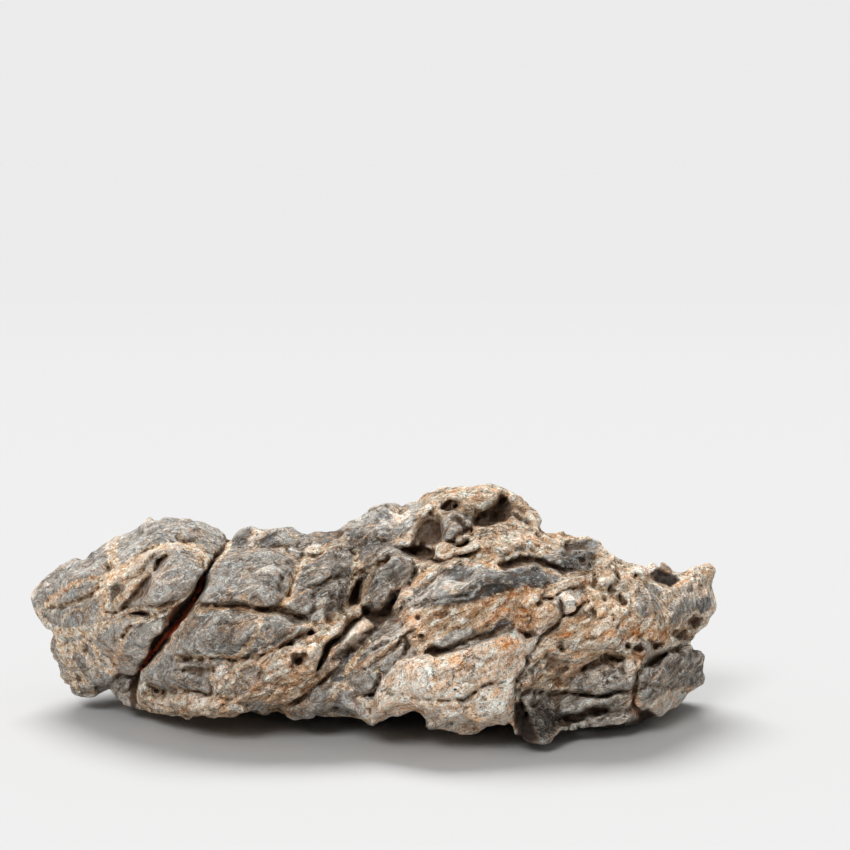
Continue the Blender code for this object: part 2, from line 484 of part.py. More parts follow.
def stone_field(points):
    """Below zero inside the stone. Near its surface the value is close to the distance from it, in mm."""
    right, down = drawn(points)
    right = right + WANDER * fractal(points, WANDER_SIZE, octaves=3, salt=1)
    down = down + WANDER * fractal(points, WANDER_SIZE, octaves=3, salt=5)
    edge = depth_inside(right, down, OUTLINE) / UNITS_PER_MM
    deepest = OUTLINE_CUT + CUT_SLOPE * np.maximum(edge, 0.0)
    raised = np.maximum(relief(right, down), -deepest)
    front = Spline(FRONT_DEPTHS).at(right, down) - raised - points[:, 1]
    back = points[:, 1] - Spline(BACK_DEPTHS).at(right, down)
    back -= chips(points, size=36.0, drop=10.0, slope=0.45, bowl=0.5, salt=20)
    back -= beds(points, thickness=14.0, step=6.0, groove=2.0, salt=30)
    back += UNDERCUT * smoothstep(UNDERCUT_HEIGHT, 0.0, points[:, 2])
    field = smooth_max(front, -edge, SILHOUETTE_ROUNDING)
    field = smooth_max(field, back, BACK_ROUNDING)
    field -= 0.5 * chips(points, size=17.0, drop=3.0, slope=0.3, bowl=0.5, salt=40)
    field -= 0.4 * chips(points, size=7.0, drop=2.0, slope=0.4, bowl=0.5, salt=60)
    return smooth_max(field, sole(points) - points[:, 2], GROUND_ROUNDING)


def levelled(values, voxel):
    """The field with its steep places eased to the slope of a distance and its one-cell specks smoothed away."""
    slope = np.sqrt(sum(part**2 for part in np.gradient(values, voxel)))
    values = np.clip(values / np.maximum(slope, 1.0), -2.0 * voxel, 2.0 * voxel)
    for axis in range(3):
        padded = np.pad(values, [(1, 1) if i == axis else (0, 0) for i in range(3)], mode="edge")
        before, after = [slice(None)] * 3, [slice(None)] * 3
        before[axis], after[axis] = slice(0, -2), slice(2, None)
        values = 0.7 * values + 0.15 * (padded[tuple(before)] + padded[tuple(after)])
    return values


def grid_points(low, high, voxel):
    axes = [np.arange(a, b + voxel, voxel) for a, b in zip(low, high)]
    shape = tuple(len(axis) for axis in axes)
    return np.stack(np.meshgrid(*axes, indexing="ij"), axis=-1).reshape(-1, 3), shape


def corner_views(values):
    """The eight corners of every grid cube, as views that can be written to."""
    n = [length - 1 for length in values.shape]
    return {c: values[c[0]:c[0] + n[0], c[1]:c[1] + n[1], c[2]:c[2] + n[2]] for c in np.ndindex(2, 2, 2)}


def untangle(values):
    """Fills grid points until no cube is inside only at opposite corners of itself or of one of its sides."""
    corners = corner_views(values)
    for _ in range(UNTANGLE_ROUNDS):
        changed = False
        for a in corners:
            for b in corners:
                far = [axis for axis in range(3) if a[axis] != b[axis]]
                if a >= b or len(far) < 2:
                    continue
                between = [c for c in corners if c not in (a, b)
                           and all(c[axis] == a[axis] for axis in range(3) if axis not in far)]
                for sign in (1.0, -1.0):
                    tangled = (sign * corners[a] < 0) & (sign * corners[b] < 0)
                    for c in between:
                        tangled &= sign * corners[c] >= 0
                    if tangled.any():
                        filled = between[0] if sign > 0 else a
                        corners[filled][tangled] = -0.05
                        changed = True
        if not changed:
            return


def surface_net(values, low, voxel):
    """The points and four-sided faces of the surface where values cross zero."""
    solid = values < 0
    shape = np.array(values.shape) - 1
    total = np.zeros((*shape, 3))
    count = np.zeros(shape)
    for axis in range(3):
        for step in np.ndindex(2, 2):
            start = list(step)
            start.insert(axis, 0)
            begin = tuple(slice(o, o + n) for o, n in zip(start, shape))
            stop = tuple(slice(o + (i == axis), o + (i == axis) + n) for i, (o, n) in enumerate(zip(start, shape)))
            a, b = values[begin], values[stop]
            crossing = solid[begin] != solid[stop]
            share = np.where(crossing, a / np.where(crossing, a - b, 1.0), 0.0)
            place = np.array(start, float) + np.eye(3)[axis] * share[..., None]
            total += np.where(crossing[..., None], place, 0.0)
            count += crossing
    used = count > 0
    index = np.full(shape, -1)
    index[used] = np.arange(used.sum())
    corners = np.argwhere(used)
    vertices = np.array(low) + voxel * (corners + total[used] / count[used][:, None])
    faces = []
    for axis in range(3):
        a, b = [(axis + 1) % 3, (axis + 2) % 3]
        inner = [slice(1, n) for n in shape]
        inner[axis] = slice(0, shape[axis])
        beyond = list(inner)
        beyond[axis] = slice(1, shape[axis] + 1)
        leaving = solid[tuple(inner)] & ~solid[tuple(beyond)]
        entering = ~solid[tuple(inner)] & solid[tuple(beyond)]
        for found, order in ((leaving, (0, 1, 2, 3)), (entering, (3, 2, 1, 0))):
            at = np.argwhere(found) + [0 if i == axis else 1 for i in range(3)]
            ring = []
            for da, db in ((0, 0), (-1, 0), (-1, -1), (0, -1)):
                cell = at.copy()
                cell[:, a] += da
                cell[:, b] += db
                ring.append(index[tuple(cell.T)])
            faces.append(np.stack([ring[i] for i in order], axis=1))
    return vertices, np.concatenate(faces)


def largest_piece(vertices, faces):
    """Drops crumbs that are not joined to the stone."""
    label = np.arange(len(vertices))
    while True:
        lowest = label[faces].min(axis=1)
        merged = label.copy()
        np.minimum.at(merged, faces.ravel(), np.repeat(lowest, 4))
        merged = merged[merged]
        if np.array_equal(merged, label):
            break
        label = merged
    main = label == np.bincount(label).argmax()
    renumber = np.cumsum(main) - 1
    return vertices[main], renumber[faces[main[faces].all(axis=1)]]


def limestone():
    material = bpy.data.materials.new("limestone")
    material.use_nodes = True
    shader = material.node_tree.nodes["Principled BSDF"]
    shader.inputs["Base Color"].default_value = (0.38, 0.34, 0.29, 1.0)
    shader.inputs["Roughness"].default_value = 0.85
    shader.inputs["Metallic"].default_value = 0.0
    return material


def make_stone():
    points, shape = grid_points(LOW_CORNER, HIGH_CORNER, VOXEL)
    values = levelled(stone_field(points).reshape(shape), VOXEL)
    untangle(values)
    vertices, faces = largest_piece(*surface_net(values, LOW_CORNER, VOXEL))
    vertices[:, 2] = np.where(vertices[:, 2] < SOLE_SNAP, 0.0, vertices[:, 2])
    mesh = bpy.data.meshes.new("stone")
    mesh.from_pydata(((vertices - MIDDLE) * METRES_PER_MM).tolist(), [], faces.tolist())
    mesh.validate()
    mesh.materials.append(limestone())
    stone = bpy.data.objects.new("stone", mesh)
    bpy.context.scene.collection.objects.link(stone)
    modifier = stone.modifiers.new("fewer_faces", "DECIMATE")
    modifier.ratio = min(1.0, TRIANGLES / (2 * len(faces)))
    modifier.use_collapse_triangulate = True
    return stone


def main():
    for old in list(bpy.data.objects):
        bpy.data.objects.remove(old)
    make_stone()


main()
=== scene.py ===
"""Dragon stone: the weathered surface of one lump of veined limestone, its floor, light and camera.

The surface follows the same front elevation as the solid it covers. Outlines, depths, blocks, cracks and
pits are drawn in thirds of a millimetre, to the right and down, as seen from one point in front of the stone.
The drawing is turned into charts, finer relief is added in three dimensions, and the zero surface is meshed
and painted.
"""

import math
from collections import namedtuple
from concurrent.futures import ThreadPoolExecutor
from itertools import combinations

import bpy
import numpy as np
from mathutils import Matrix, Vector


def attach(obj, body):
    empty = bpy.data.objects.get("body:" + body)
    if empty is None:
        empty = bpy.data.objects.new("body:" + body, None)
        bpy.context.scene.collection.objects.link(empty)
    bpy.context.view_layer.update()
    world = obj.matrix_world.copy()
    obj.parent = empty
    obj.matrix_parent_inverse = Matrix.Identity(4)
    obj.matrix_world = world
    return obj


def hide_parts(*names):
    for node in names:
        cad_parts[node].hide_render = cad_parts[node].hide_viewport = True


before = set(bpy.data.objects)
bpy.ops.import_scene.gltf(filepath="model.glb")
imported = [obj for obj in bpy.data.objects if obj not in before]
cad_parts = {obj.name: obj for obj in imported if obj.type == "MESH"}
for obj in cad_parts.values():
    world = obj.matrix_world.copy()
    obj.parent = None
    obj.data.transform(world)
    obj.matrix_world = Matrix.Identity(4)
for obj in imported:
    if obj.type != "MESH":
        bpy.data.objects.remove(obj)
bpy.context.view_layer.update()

# The stone's real size, in millimetres, and the same length on the drawing.
STONE_LENGTH = 228.0
DRAWN_LENGTH = 684.0
UNITS_PER_MM = DRAWN_LENGTH / STONE_LENGTH
METRES_PER_MM = 0.001

# The drawing's viewpoint: what the viewer looks straight at, where the stone's middle stands on the ground,
# how far off that is in mm, and how far down the viewer looks.
DRAWING_SIDE = 850.0
SIGHT_LINE = np.array((425.0, 425.0))
STANDING_POINT = np.array((375.0, 716.0))
VIEW_DISTANCE = 787.0
VIEW_PITCH = math.radians(6.5)

# The charts of the drawing, in its own units, and what there is a chart of.
CHART_LOW = (16.0, 466.0)
CHART_HIGH = (734.0, 754.0)
CHART_STEP = 0.5
CHART_NAMES = (
    "edge", "front", "back", "relief", "sheer", "reach", "hollow", "pale", "vein", "ember", "rust", "bleach_light_shade",
)

# The block that the surface is cut from, in mm, and the place in it that becomes the frame's origin.
LOW_CORNER = (-119.5, -69.0, -2.5)
HIGH_CORNER = (119.0, 61.0, 80.5)
MIDDLE = np.array((-1.0, -5.0, 0.0))

# The grid's spacing in mm, how many times coarser its first pass is, and how far from the surface it is
# worked out. Then how many points one processor takes at a time, and how many triangles are left at the end.
VOXEL = 0.62
COARSENING = 2
BAND = 2.4
PART_SIZE = 40000
TRIANGLES = 197000

# What share of its value a grid point keeps when the field is smoothed, and what share it takes from each
# neighbour. Then the value, in mm, of a point that is filled to untangle the surface.
KEPT = 0.7
TAKEN = 0.15
FILLED = -0.05

# How softly the front turns into the outline, the back and the sole, and what is pressed flat on the ground.
SILHOUETTE_ROUNDING = 4.0
BACK_ROUNDING = 16.0
GROUND_ROUNDING = 1.0
SOLE_SNAP = 0.25

# How soft the drawn blocks' borders are and how far they swell, in drawing units.
PLATE_EDGE = 2.4
PLATE_SWELL = 24.0
KIND_EDGE = 7.0

# How far past its own points each thing on the drawing can show, in drawing units.
PLATE_MARGIN = 12.0
RIDGE_MARGIN = 15.0
VEIN_MARGIN = 18.0
CRACK_MARGIN = 25.0
HOLLOW_MARGIN = 8.0
PIT_MARGIN = 4.0

# How many times its own radius a pit and a patch can show.
PIT_SPAN = 1.6
PATCH_SPAN = 2.5

# How unevenly grooves, ridges and pits are cut: the lumps' size, their salt, the middle and the spread, and
# the least and the most that is left.
GROOVE_WEAR = (22.0, 301, 0.55, 1.1, 0.0, 1.6)
RIDGE_WEAR = (9.0, 305, 0.8, 0.7, 0.2, 1.5)
PIT_WEAR = (5.0, 309, 1.0, 0.9, 0.3, 2.5)

# How much a crack's width varies and over what distance, how far from its ends it narrows and to what share,
# and how thin it can be.
RAGGEDNESS = 0.5
RAGGEDNESS_SIZE = 16.0
TAPER = 14.0
END_WIDTH = 0.4
THINNEST_CRACK = 0.15

# How soft a hollow's rim is, in drawing units, how much its floor rises and falls, and the size and salt of
# the noise that the rim and the floor follow.
HOLLOW_EDGE = 2.0
HOLLOW_ROUGHNESS = 0.35
HOLLOW_RIM = (7.0, 307)
HOLLOW_FLOOR = (11.0, 308)

# The depths in mm at which the shade painted in a crack and in a pit is darkest, and how dark the shade
# painted in a pit can be.
DARK_CRACK = 12.0
DARK_PIT = 9.0
PIT_DARKNESS = 0.8

# The deepest that a cut may be at the outline, in mm, and how much deeper for each mm inside it.
OUTLINE_CUT = 1.5
CUT_SLOPE = 1.2

# How far the drawing's lines wander, in drawing units, and over what distance in mm: widely, and finely.
WANDER = 1.8
WANDER_SIZE = 9.0
JITTER = 0.9
JITTER_SIZE = 1.5

# From how far behind the drawn front, in mm, the rock is no longer what the drawing says.
BEHIND = (12.0, 34.0)

# The rock there: how its bedded patches are drawn out, the size, octaves and salt of patches and of spots,
# the heights in mm between which shale gives way to the rest, and how far the spots move these. Then from
# what value of its noise each kind starts, and from what value it is whole.
BACK_STRETCH = (0.35, 0.6, 1.0)
BACK_PATCHES = (16.0, 3, 201)
BACK_SPOTS = (24.0, 3, 211)
BACK_SHALE = (30.0, 8.0)
BACK_SHALE_SHIFT = 8.0
BACK_TAN = (0.05, 0.3)
BACK_CREAM = (0.5, 0.7)
BACK_SLATE = (-0.5, -0.75)

# How the back and then the whole stone are chipped: size, drop, slope, bowl and salt, and for the whole stone
# how much of the chips is cut. The back's beds have a thickness, step, groove and salt. Lengths are in mm.
BACK_CHIPS = (36.0, 10.0, 0.45, 0.5, 20)
BACK_BEDS = (14.0, 6.0, 2.0, 30)
LARGE_CHIPS = (17.0, 3.0, 0.3, 0.5, 40)
LARGE_CHIPS_SHARE = 0.5
SMALL_CHIPS = (7.0, 2.0, 0.4, 0.5, 60)
SMALL_CHIPS_SHARE = 0.4

# How far the back is worn in at the ground, and up to what height, in mm.
UNDERCUT = 8.0
UNDERCUT_HEIGHT = 18.0

# How much of the fine relief is left at the very outline, and from how deep inside it is whole, in mm.
CALM = 0.4
CALM_EDGE = 3.5

# How flakes and fissures are drawn out across, down and through the beds.
BED_STRETCH = (0.45, 0.7, 1.0)

# Feet that the stone stands on: (x, y, radius) in mm. Between them the underside arches clear of the ground,
# from within a foot's radius to beyond it.
FEET = (
    (-62, 28, 22), (-52, 12, 14), (-6, 30, 22), (27, -24, 14),
    (50, 8, 24), (76, -8, 16), (58, 24, 16), (55, -46, 13),
)
FOOT_EDGE = (0.6, 1.3)
ARCH = 5.0
ARCH_ROUGHNESS = 0.4
ARCH_LUMPS = (14.0, 90)

# The sky's brightness at the horizon and high up, how high up that is, what share of it a level floor gets,
# and how bright the backdrop is.
SKY_LOW = 0.05
SKY_HIGH = 0.4
SKY_TOP = 0.5
SKY_SHARE = 0.925
BACKDROP = 0.835

# The floor's half width in metres, its brightness near the stone, and from where to where, in mm, that fades
# to the backdrop's.
FLOOR_REACH = 40.0
FLOOR_BRIGHTNESS = 0.87
FLOOR_FADE = (400.0, 3000.0)

# Lamps: name, strength, spread in degrees and where they shine.
LAMPS = (
    ("key", 3.1, 34.0, (0.15, -0.5, -1.0)),
    ("fill", 1.65, 20.0, (0.3, 0.85, -0.68)),
)

# How many rounds of smoothing show where the surface is hollow: a few for small dips and many for wide dells.
# Then how much of the painted value one usual depth makes.
# The material paints shade into the dips and dells that these find, and light on the rises between them.
HOLLOWNESS = (("dip", 3), ("dell", 30))
HOLLOWNESS_SHARE = 0.2

# What share of red, green and blue the rock's tone has, and how much of it a rusty stain adds or takes.
WARMTH = ((1.0, 0.2), (0.973, -1.5), (0.955, -2.8))

# The kinds of rock. Grey limestone is what the others leave.
GREY, TAN, CREAM, SLATE, SHALE = range(5)

Plate = namedtuple("Plate", "name kind rise dome groove outline")
Line = namedtuple("Line", "name depth width points")
Vein = namedtuple("Vein", "name width points")
Hollow = namedtuple("Hollow", "name depth darkness outline")
Pit = namedtuple("Pit", "name depth centre radii angle", defaults=(0,))
Patch = namedtuple("Patch", "name strength centre radii angle", defaults=(0,))
Rock = namedtuple("Rock", "dark light size bedded veils")
Veil = namedtuple("Veil", "size detail rough start whole share colour")
Thread = namedtuple("Thread", "size width spread start whole share colour")

# How much of each texture each kind of rock has.
GRAIN = {
    GREY: {"roll": 0.25, "grain": 0.15, "large": 0.8, "middle": 0.5, "small": 0.3, "split": -1.2},
    TAN: {
        "roll": 0.5, "grain": 0.3, "crests": 1.3, "large": 0.6, "middle": 0.7, "steps": 2.0, "holes": -1.4,
    },
    CREAM: {"roll": 0.3, "grain": 0.2, "large": 0.9, "middle": 0.7, "crests": 0.7, "holes": -0.7},
    SLATE: {"roll": 0.1, "large": 1.5, "middle": 0.7, "small": 0.2},
    SHALE: {"roll": 0.3, "grain": 0.15, "large": 0.9, "middle": 0.7, "steps": 1.7, "split": -1.0},
}

# The kinds of rock before weathering: two colours, the size in mm of their patches, whether these follow the
# beds, and veils of other colours. A veil has its noise's size, detail and roughness, the values of it at
# which the veil starts and is whole, and how much of the rock it hides.
ROCKS = {
    GREY: Rock((0.175, 0.155, 0.133), (0.285, 0.26, 0.226), 5.0, False, (
        Veil(9.0, 7.0, 0.7, 0.52, 0.64, 0.75, (0.42, 0.26, 0.135)),
        Veil(4.0, 8.0, 0.75, 0.56, 0.7, 0.55, (0.54, 0.50, 0.43)),
    )),
    TAN: Rock((0.42, 0.265, 0.145), (0.66, 0.48, 0.31), 4.0, True, (
        Veil(6.0, 7.0, 0.7, 0.53, 0.67, 0.7, (0.80, 0.67, 0.51)),
    )),
    CREAM: Rock((0.66, 0.49, 0.35), (0.90, 0.78, 0.64), 6.0, False, (
        Veil(3.0, 7.0, 0.75, 0.58, 0.68, 0.7, (0.46, 0.28, 0.14)),
        Veil(11.0, 6.0, 0.65, 0.52, 0.62, 0.8, (0.95, 0.85, 0.75)),
    )),
    SLATE: Rock((0.062, 0.061, 0.059), (0.15, 0.144, 0.136), 4.0, True, (
        Veil(7.0, 7.0, 0.7, 0.53, 0.62, 0.75, (0.33, 0.32, 0.30)),
    )),
    SHALE: Rock((0.13, 0.105, 0.083), (0.34, 0.29, 0.235), 3.0, True, (
        Veil(7.0, 7.0, 0.7, 0.53, 0.65, 0.6, (0.50, 0.46, 0.40)),
    )),
}

# Thin lines across the rock: the size in mm of the net they follow, their width in it, the size of the places
# that have them, from what noise they start and are whole, how much they hide, and their colour.
THREADS = (
    Thread(10.0, 0.022, 14.0, 0.46, 0.56, 0.85, (0.76, 0.48, 0.25)),
    Thread(3.6, 0.04, 12.0, 0.45, 0.55, 0.7, (0.84, 0.78, 0.69)),
    Thread(1.8, 0.05, 7.0, 0.44, 0.54, 0.45, (0.80, 0.75, 0.68)),
)
HAIR_CRACKS = Thread(6.0, 0.035, 9.0, 0.46, 0.54, 0.8, (0.13, 0.07, 0.035))
HAIR_CRACK_DEPTH = 0.8

# Colours that weather and fill the rock, and colours of the shade and light painted on it. Pairs are for bare
# rock and for crust.
LIME_DARK = (0.60, 0.34, 0.15)
LIME_LIGHT = (0.91, 0.76, 0.56)
RIDGE_LIME = (0.86, 0.77, 0.64)
# Worn rock, which is also painted on as light: on upward faces, crests and lighter patches.
WORN_AND_LIT = ((0.64, 0.61, 0.56), (0.92, 0.80, 0.66))
CREASED = ((0.13, 0.08, 0.045), (0.27, 0.125, 0.045))
# Painted shade in the dips and dells.
DIP_SHADE = (0.12, 0.06, 0.025)
DELL_SHADE = (0.15, 0.085, 0.04)
RUST = (0.52, 0.20, 0.055)
# Painted shade in the crust's pores.
PORE = (0.16, 0.085, 0.04)
# Painted shade in cracks, pits and hollows, and where it is deepest.
HOLLOW_SHADE = (0.13, 0.072, 0.038)
HOLLOW_DEEP_SHADE = (0.022, 0.014, 0.010)
EMBER = (0.62, 0.10, 0.03)

# The rock's least and greatest roughness and its shine, and how far a mm of the finest relief lifts it, in
# metres: a little more than it measures, because the light here is so soft.
ROUGHNESS = (0.78, 0.95)
SHINE = 0.35
BUMP = 0.0013

# The camera's sensor is this wide, in mm.
SENSOR_WIDTH = 36.0

# The stone's outline.
OUTLINE = (
    (33, 598), (46, 577), (58, 567), (72, 559), (86, 558), (90, 550), (102, 541), (124, 530), (141, 523),
    (157, 519), (168, 517), (188, 518), (207, 520), (219, 524), (226, 531), (228, 541), (233, 538),
    (241, 529), (250, 528), (270, 529), (285, 527), (300, 531), (318, 530), (336, 529), (345, 523),
    (356, 519), (366, 511), (385, 502), (396, 504), (401, 508), (410, 504), (421, 507), (427, 500),
    (436, 492), (444, 487), (458, 486), (476, 485), (497, 486), (508, 489), (517, 496), (524, 504),
    (533, 514), (538, 521), (538, 533), (555, 534), (561, 532), (577, 540), (592, 541), (602, 545),
    (619, 557), (630, 564), (645, 562), (655, 565), (669, 569), (679, 574), (687, 572), (695, 569),
    (703, 569), (712, 573), (709, 585), (715, 596), (718, 608), (709, 619), (707, 627), (697, 635),
    (684, 646), (695, 646), (704, 648), (710, 655), (708, 670), (705, 680), (698, 691), (689, 699),
    (667, 718), (661, 724), (640, 727), (633, 730), (621, 732), (590, 731), (562, 734), (546, 739),
    (531, 740), (518, 733), (513, 714), (504, 722), (487, 728), (472, 734), (457, 736), (440, 733),
    (430, 727), (430, 719), (421, 711), (415, 709), (400, 714), (388, 717), (372, 722), (347, 718),
    (329, 714), (302, 720), (293, 720), (286, 715), (280, 708), (273, 708), (262, 713), (240, 714),
    (228, 715), (210, 714), (185, 718), (166, 716), (146, 711), (138, 714), (130, 709), (121, 708),
    (113, 705), (113, 694), (109, 690), (96, 698), (87, 701), (80, 699), (72, 693), (72, 684), (60, 678),
    (58, 672), (50, 656), (49, 644), (54, 633), (40, 619),
)

# Depth of the front face at places on the drawing: (right, down, depth in mm).
FRONT_DEPTHS = (
    (33, 598, 8), (60, 575, -4), (105, 540, -4), (180, 520, -6), (226, 535, -6), (60, 640, -4),
    (85, 600, -20), (120, 590, -28), (180, 570, -34), (110, 650, -24), (90, 695, -4), (140, 700, -18),
    (130, 550, -20), (240, 535, -10), (250, 590, -38), (210, 650, -44), (200, 712, -38), (300, 532, -6),
    (320, 590, -34), (300, 670, -50), (300, 715, -40), (385, 505, 0), (385, 540, -20), (385, 590, -32),
    (340, 640, -46), (350, 700, -48), (440, 690, -60), (457, 733, -52), (480, 630, -54), (400, 640, -50),
    (420, 560, -30), (470, 488, 0), (470, 530, -22), (530, 520, -6), (500, 578, -46), (560, 540, -14),
    (560, 560, -30), (600, 600, -46), (600, 548, -18), (650, 568, -18), (650, 610, -40), (705, 575, -4),
    (715, 605, 0), (700, 640, -14), (600, 660, -44), (650, 690, -36), (706, 665, -2), (640, 725, -28),
    (545, 738, -56), (560, 700, -38), (690, 700, -8),
)

# Depth of the back face, in the same way.
BACK_DEPTHS = (
    (33, 598, 26), (60, 575, 36), (60, 640, 36), (120, 545, 32), (110, 620, 46), (90, 700, 36),
    (180, 520, 27), (200, 610, 54), (200, 715, 50), (300, 530, 24), (300, 620, 50), (300, 715, 52),
    (385, 505, 26), (380, 600, 48), (380, 715, 50), (470, 488, 30), (470, 560, 46), (470, 650, 54),
    (470, 735, 46), (560, 535, 26), (560, 640, 48), (560, 735, 40), (650, 566, 24), (650, 650, 40),
    (650, 725, 32), (715, 605, 26), (706, 665, 28), (690, 700, 28),
)

